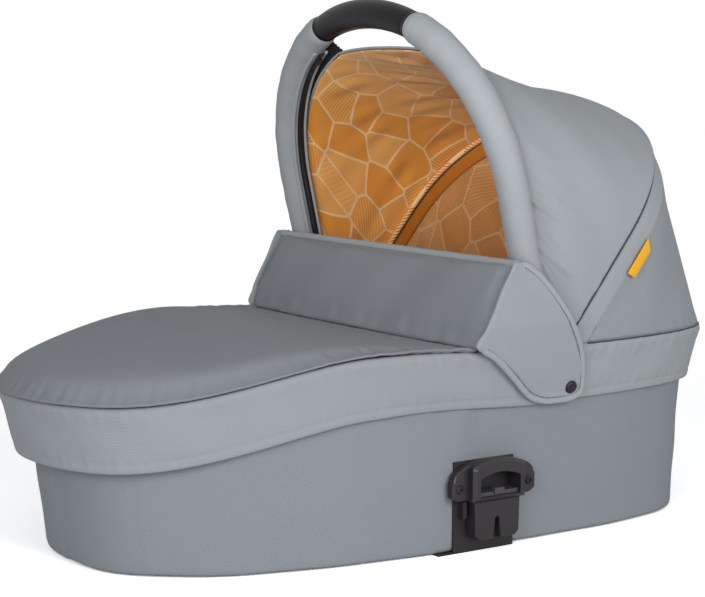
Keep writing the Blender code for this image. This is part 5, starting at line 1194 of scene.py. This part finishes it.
hoop_side_way = lean_side(HOOP_LEAN)
sleeve_line = hoop_arch(0.0, HOOP_FOOT, HOOP_POINTS)
sleeve_out = outward(sleeve_line, hoop_side_way)
sleeve_grid = np.array([sleeve_line + hoop_side_way * along + hoop_drop(sleeve_out, along, lean_up(HOOP_LEAN))
                        for along in np.linspace(GAP, HOOP_SLEEVE_WIDTH - GAP, SLEEVE_ROWS)])


def sleeve_relief(across, down):
    soft = 0.0004 * bell(down, 0.0125, 0.008) - 0.0006 * bell(down, 0.0045, 0.0010)
    return soft + 0.00025 * ripple(across, (0.02, 0.013, 0.034), 81) * bell(down, 0.022, 0.005)


sleeve = cloth("hoop_sleeve_cloth", sleeve_grid, SLEEVE_CLOTH, side=outer_side(sleeve_grid, hood_inside),
               relief=sleeve_relief)
dress(sleeve, GREY_HOOD, None, ["hoop_sleeve"])
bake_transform(sleeve)
cord_line = sleeve_line - hoop_side_way * SEAM_CORD_FRONT + sleeve_out * SEAM_CORD_OUT
seam_cord = pipe("hoop_seam_cord", cord_line, SEAM_CORD_RADIUS, CORD_SIDES)
dress(seam_cord, DARK_CORD_AND_PAINTED_SHADE, "rear_hoop", ["hoop_piping"])
stitch_row = sleeve_grid[SLEEVE_STITCH_ROW] + sleeve_out * THREAD_LIFT * 2
stitch_row = stretch_of(stitch_row, SLEEVE_BEND[1], lengths(stitch_row)[-1] - SLEEVE_BEND[1], HOOP_POINTS)
dress(stitches("hoop_stitches", stitch_row, outward(stitch_row, hoop_side_way)), THREAD, "rear_hoop")

band_rows = between(lining_front_grid[-1], lining_rear_grid[0],
                    np.linspace(0, 1, INNER_BAND_ROWS)[:, None, None])
inner_band = cloth("lining_hoop_band", band_rows, INNER_BAND_CLOTH, side=outer_side(band_rows, hood_inside),
                   relief=lambda across, down: np.full_like(across, -INNER_BAND_SINK))
dress(inner_band, ORANGE_PLAIN, "rear_hoop")
inner_line = hoop_arch(-(inset + LINING_THICKNESS + INNER_CORD_IN), INNER_CORD_START, HOOP_POINTS)
piece = pipe("hood_inner_cord", inner_line + hoop_side_way * INNER_CORD_BACK, INNER_CORD_RADIUS)
dress(piece, PRINT_CORD, "rear_hoop")
piece = pipe("hood_inner_cord_shadow", inner_line + hoop_side_way * SHADOW_CORD_BACK, SHADOW_CORD_RADIUS,
             CORD_SIDES)
dress(piece, DARK_CORD_AND_PAINTED_SHADE, "rear_hoop")

label_line = stretch_of(hoop_arch(0.0, 0.0, 481), LABEL_START, LABEL_START + LABEL_LENGTH, LABEL_POINTS)
label_out = outward(label_line, hoop_side_way)
label_out *= -np.sign(label_out[:, 1].mean())
rows = []
for share in np.linspace(0, 1, LABEL_ROWS):
    line = stretch_of(label_line, LABEL_CUTS[0] * share, LABEL_LENGTH - LABEL_CUTS[1] * share, LABEL_POINTS)
    rows.append(line + label_out * (LABEL_LIFT + LABEL_CURL * math.sin(math.pi * share))
                + hoop_side_way * (HOOP_SLEEVE_WIDTH + LABEL_ACROSS * (share - 0.25)))
label_grid = np.array(rows)
label = cloth("label_cloth", label_grid, LABEL_CLOTH, side=outer_side(label_grid, hood_inside))
dress(label, LABEL, "rear_hoop", ["label_tag"])

# Front bow
SLEEVE_POINTS, SLEEVE_FILL, SLEEVE_HEM = 150, 0.9, 0.001
ZIP_POINTS, ZIP_LIFT, ZIP_BACK, ZIP_TAPE_HEIGHT = 120, 0.0010, 0.0022, 0.0009
COIL_RADIUS, COIL_HALF_WIDTH = 0.0012, 0.0022
EDGE_CORD_RADIUS, EDGE_CORD_IN, EDGE_CORD_BACK = 0.0021, 0.0012, 0.0094
RIDGE_RADIUS, RIDGE_IN, RIDGE_FORWARD = 0.0026, 0.0030, 0.0062
ZIP_WEB_TOP_Y = 0.086           # the zip ends here, at the hand opening
WEB_ROWS, WEB_THICKNESS, WEB_RIDGE, WEB_RIDGE_PITCH = 25, 0.0012, 0.0006, 0.0042
WEB_SINK, WEB_UNDER, WEB_FORWARD = 0.003, 0.0035, 0.0012        # into the sleeve, and under the canopy's edge
GRIP_POINTS, GRIP_SEAM_RADIUS = 120, 0.0008
bow_side_way = lean_side(BOW_LEAN)
bow_line = bow_arch(0.0, BOW_TUBE_START, 481)
bow_out = outward(bow_line, bow_side_way)
bow_middle = lengths(bow_line)[-1] / 2
sleeve_run = (BOW_SLEEVE_START - BOW_TUBE_START, bow_middle - GRIP_HALF_LENGTH - SLEEVE_HEM)


def along_bow(start, end, count):
    goals = np.linspace(start, end, count)
    return at_lengths(bow_line, bow_line, goals), units(at_lengths(bow_line, bow_out, goals))


def sleeve_radius():
    share = np.linspace(0, 1, SLEEVE_POINTS)
    from_end = (1 - share) * (sleeve_run[1] - sleeve_run[0])
    radius = between(SLEEVE_RADIUS_LOW, SLEEVE_RADIUS_HIGH, ease(1.5 * share))
    radius = radius * (1 - 0.07 * bell(from_end, 0, 0.004)) - 0.0008 * bell(from_end, 0.011, 0.0012)
    return radius + 0.0003 * ripple(share * 0.4, (0.05, 0.083, 0.031), 91)


def web_relief(across, down):
    return WEB_RIDGE * np.cos(2 * np.pi * down / WEB_RIDGE_PITCH) * ease(down[-1][None] / 0.006)


edge_row = canopy_front_grid[0][canopy_front_grid[0][:, 1] < -ZIP_WEB_TOP_Y]
nearest = np.array([bow_line[np.argmin(np.linalg.norm(bow_line - p, axis=1))] for p in edge_row])
reach = units(edge_row - nearest)
web = between(nearest + reach * (SLEEVE_RADIUS_LOW - WEB_SINK),
              edge_row - bow_side_way * WEB_FORWARD + reach * WEB_UNDER,
              np.linspace(0, 1, WEB_ROWS)[:, None, None])
line, outs = along_bow(*sleeve_run, SLEEVE_POINTS)
zip_line, zip_out = along_bow(ZIP_START, bow_middle - GRIP_HALF_LENGTH - ZIP_END_DROP, ZIP_POINTS)
zip_in = SLEEVE_RADIUS_HIGH + GAP + ZIP_LIFT
for side_name, flip in SIDES:
    way = np.array([1, flip, 1])
    piece = pipe(f"bow_sleeve_cloth_{side_name}", line * way, sleeve_radius(), 40, out=outs * way)
    dress(piece, GREY_BOW, "front_bow", [f"bow_sleeve_{side_name}"])
    for name, inward, back, radius, sides, wide, mat, nodes, slot in (
            ("zip_tape_cloth", zip_in, ZIP_BACK, ZIP_TAPE_HEIGHT, 10, ZIP_WIDTH / 2, ZIP_TAPE,
             [f"zip_tape_{side_name}"], "zip_tape"),
            ("zip_coil", zip_in + COIL_RADIUS - 0.0002, ZIP_BACK, COIL_RADIUS, 8, COIL_HALF_WIDTH, COIL,
             (), None),
            ("bow_edge_cord", zip_in - EDGE_CORD_IN, EDGE_CORD_BACK, EDGE_CORD_RADIUS, 10, None, GREY_EDGE,
             (), None),
            ("bow_ridge", zip_in - RIDGE_IN, -RIDGE_FORWARD, RIDGE_RADIUS, 10, None, GREY_BOW, (), None)):
        beside = zip_line - zip_out * inward + bow_side_way * back
        piece = pipe(f"{name}_{side_name}", beside * way, radius, sides, wide=wide,
                     out=zip_out * way if wide else None)
        dress(piece, mat, "front_bow", nodes)
    piece = cloth(f"zip_web_cloth_{side_name}", web * way, WEB_THICKNESS,
                  side=-outer_side(web * way, hood_inside), relief=web_relief)
    dress(piece, ZIP_TAPE, "front_bow")

grip_line, grip_out = along_bow(bow_middle - GRIP_HALF_LENGTH, bow_middle + GRIP_HALF_LENGTH, GRIP_POINTS)
share = np.linspace(0, 1, GRIP_POINTS)
from_end = np.minimum(share, 1 - share) * 2 * GRIP_HALF_LENGTH
radius = GRIP_RADIUS + GRIP_SWELL * np.sin(np.pi * share)
radius += 0.0008 * bell(from_end, 0.002, 0.0015) - 0.0007 * bell(from_end, 0.006, 0.0012)
grip = pipe("grip_cover", grip_line, radius, 48, out=grip_out)
dress(grip, RUBBER, "front_bow", ["handle_grip"])
grip_seam = (grip_line - grip_out * (GRIP_RADIUS + GRIP_SWELL * 0.6))[4:-4]
dress(pipe("grip_seam", grip_seam, GRIP_SEAM_RADIUS, 8), RUBBER, "front_bow")

# Mattress
MATTRESS_CLEAR = TUB_WALL + 0.0032
MATTRESS_HEIGHT, MATTRESS_CROWN, MATTRESS_ROUND = 0.034, 0.0078, 0.009
MATTRESS_TUCK = 0.006           # its underside draws in by this
MATTRESS_COLUMNS, MATTRESS_PLUMP, MATTRESS_VOXEL, MATTRESS_FILL = 160, 0.002, 0.006, 0.8
mattress_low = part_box("mattress")[0].z


def mattress_ring(inset, z, scale=1.0):
    ring = plan((BASE_HALF_WIDTH - inset) * scale, (BASE_FOOT_X + inset) * scale,
                (BASE_HEAD_X - inset) * scale, MATTRESS_COLUMNS, BASE_SHAPE)
    ring[:, 2] = mattress_low + z
    return ring


rings = [mattress_ring(MATTRESS_CLEAR + MATTRESS_TUCK, 0.0, scale) for scale in (0.02, 0.35, 0.7, 0.9)]
for angle in np.linspace(0, math.pi, 24):
    rings.append(mattress_ring(MATTRESS_CLEAR + MATTRESS_ROUND * (1 - math.sin(angle)) + 0.0005,
                               MATTRESS_HEIGHT * (1 - math.cos(angle)) / 2))
for scale in (0.93, 0.82, 0.66, 0.46, 0.24, 0.02):
    rings.append(mattress_ring(MATTRESS_CLEAR + MATTRESS_ROUND,
                               MATTRESS_HEIGHT + MATTRESS_CROWN * (1 - scale ** 2) ** 0.6, scale))
verts = np.vstack(rings)
mattress = new_mesh("mattress_pad", verts, tube_faces(len(rings), MATTRESS_COLUMNS), verts[:, :2])
dress(mattress, TICKING, "cot", ["mattress"])
plump(mattress, MATTRESS_PLUMP, MATTRESS_VOXEL)


# Studio
def stand(name, data, place, aim):
    """An object that looks from a place at another."""
    obj = bpy.data.objects.new(name, data)
    bpy.context.scene.collection.objects.link(obj)
    obj.location = place
    obj.rotation_mode = "QUATERNION"
    obj.rotation_quaternion = (Vector(aim) - Vector(place)).to_track_quat("-Z", "Y")
    return obj


def sky():
    """Soft light on the object, and white where the camera sees past it."""
    world = bpy.data.worlds.new("studio")
    bpy.context.scene.world = world
    n = Nodes(world)
    n.tree.nodes.clear()
    light = n.add("ShaderNodeBackground", {"Color": SKY_COLOUR, "Strength": SKY_STRENGTH}).outputs[0]
    white = n.add("ShaderNodeBackground", {"Color": (1, 1, 1, 1), "Strength": 1.0}).outputs[0]
    path = n.add("ShaderNodeLightPath").outputs
    seen = n.math("MAXIMUM", path["Is Camera Ray"],
                  n.math("MAXIMUM", path["Is Transmission Ray"], path["Is Glossy Ray"]))
    mixed = n.add("ShaderNodeMixShader", {0: seen, 1: light, 2: white}).outputs[0]
    n.add("ShaderNodeOutputWorld", {"Surface": mixed})


def lamps():
    for name, place, size, power in LAMPS:
        lamp = bpy.data.lights.new(name, "AREA")
        lamp.shape = "DISK"
        lamp.size = size
        lamp.energy = power
        stand(name, lamp, place, LAMP_AIM)
    place, aim, power = HOOD_LAMP
    lamp = bpy.data.lights.new("hood_lamp", "SPOT")
    lamp.energy = power
    lamp.spot_size = math.radians(HOOD_LAMP_CONE)
    lamp.spot_blend = 1.0
    lamp.shadow_soft_size = HOOD_LAMP_SIZE
    stand("hood_lamp", lamp, place, aim)


def floor():
    """A white floor that takes the shadow and fades out round the object."""
    bpy.ops.mesh.primitive_circle_add(vertices=96, radius=FLOOR_RADIUS, fill_type="NGON", location=(0, 0, 0))
    obj = bpy.context.object
    obj.name = "floor"
    n = Nodes(bpy.data.materials.new("floor_mat"))
    seen = n.add("ShaderNodeLightPath").outputs["Is Camera Ray"]
    n.out(Base_Color=n.mix(seen, (FLOOR_TONE,) * 3 + (1,), (FLOOR_SEEN,) * 3 + (1,)), Roughness=0.9,
          Specular_IOR_Level=0.0)
    far = n.vector("LENGTH", n.place())["Value"]
    fade = n.add("ShaderNodeMapRange", {"Value": far, "From Min": FLOOR_FADE[0], "From Max": FLOOR_FADE[1]},
                 clamp=True).outputs[0]
    clear = n.add("ShaderNodeBsdfTransparent").outputs[0]
    mixed = n.add("ShaderNodeMixShader", {0: fade, 1: n.shader.outputs[0], 2: clear}).outputs[0]
    n.feed(n.tree.nodes["Material Output"].inputs["Surface"], mixed)
    paint(obj, n.owner)
    obj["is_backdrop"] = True


def camera():
    a, e = math.radians(CAMERA_AZIMUTH), math.radians(CAMERA_ELEVATION)
    back = Vector((math.sin(a) * math.cos(e), -math.cos(a) * math.cos(e), math.sin(e)))
    lens = bpy.data.cameras.new("camera")
    lens.sensor_width = SENSOR_WIDTH_MM
    lens.lens = CAMERA_FOCAL_PX / PHOTO_WIDTH * SENSOR_WIDTH_MM
    lens.shift_x = (PHOTO_WIDTH / 2 - CAMERA_CENTRE_PX[0]) / PHOTO_WIDTH
    lens.shift_y = (CAMERA_CENTRE_PX[1] - PHOTO_HEIGHT / 2) / PHOTO_WIDTH
    bpy.context.scene.camera = stand("camera", lens, CAMERA_AIM + back * CAMERA_DISTANCE, CAMERA_AIM)
    bpy.context.scene.view_settings.view_transform = "Standard"


sky()
lamps()
floor()
camera()

low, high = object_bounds()
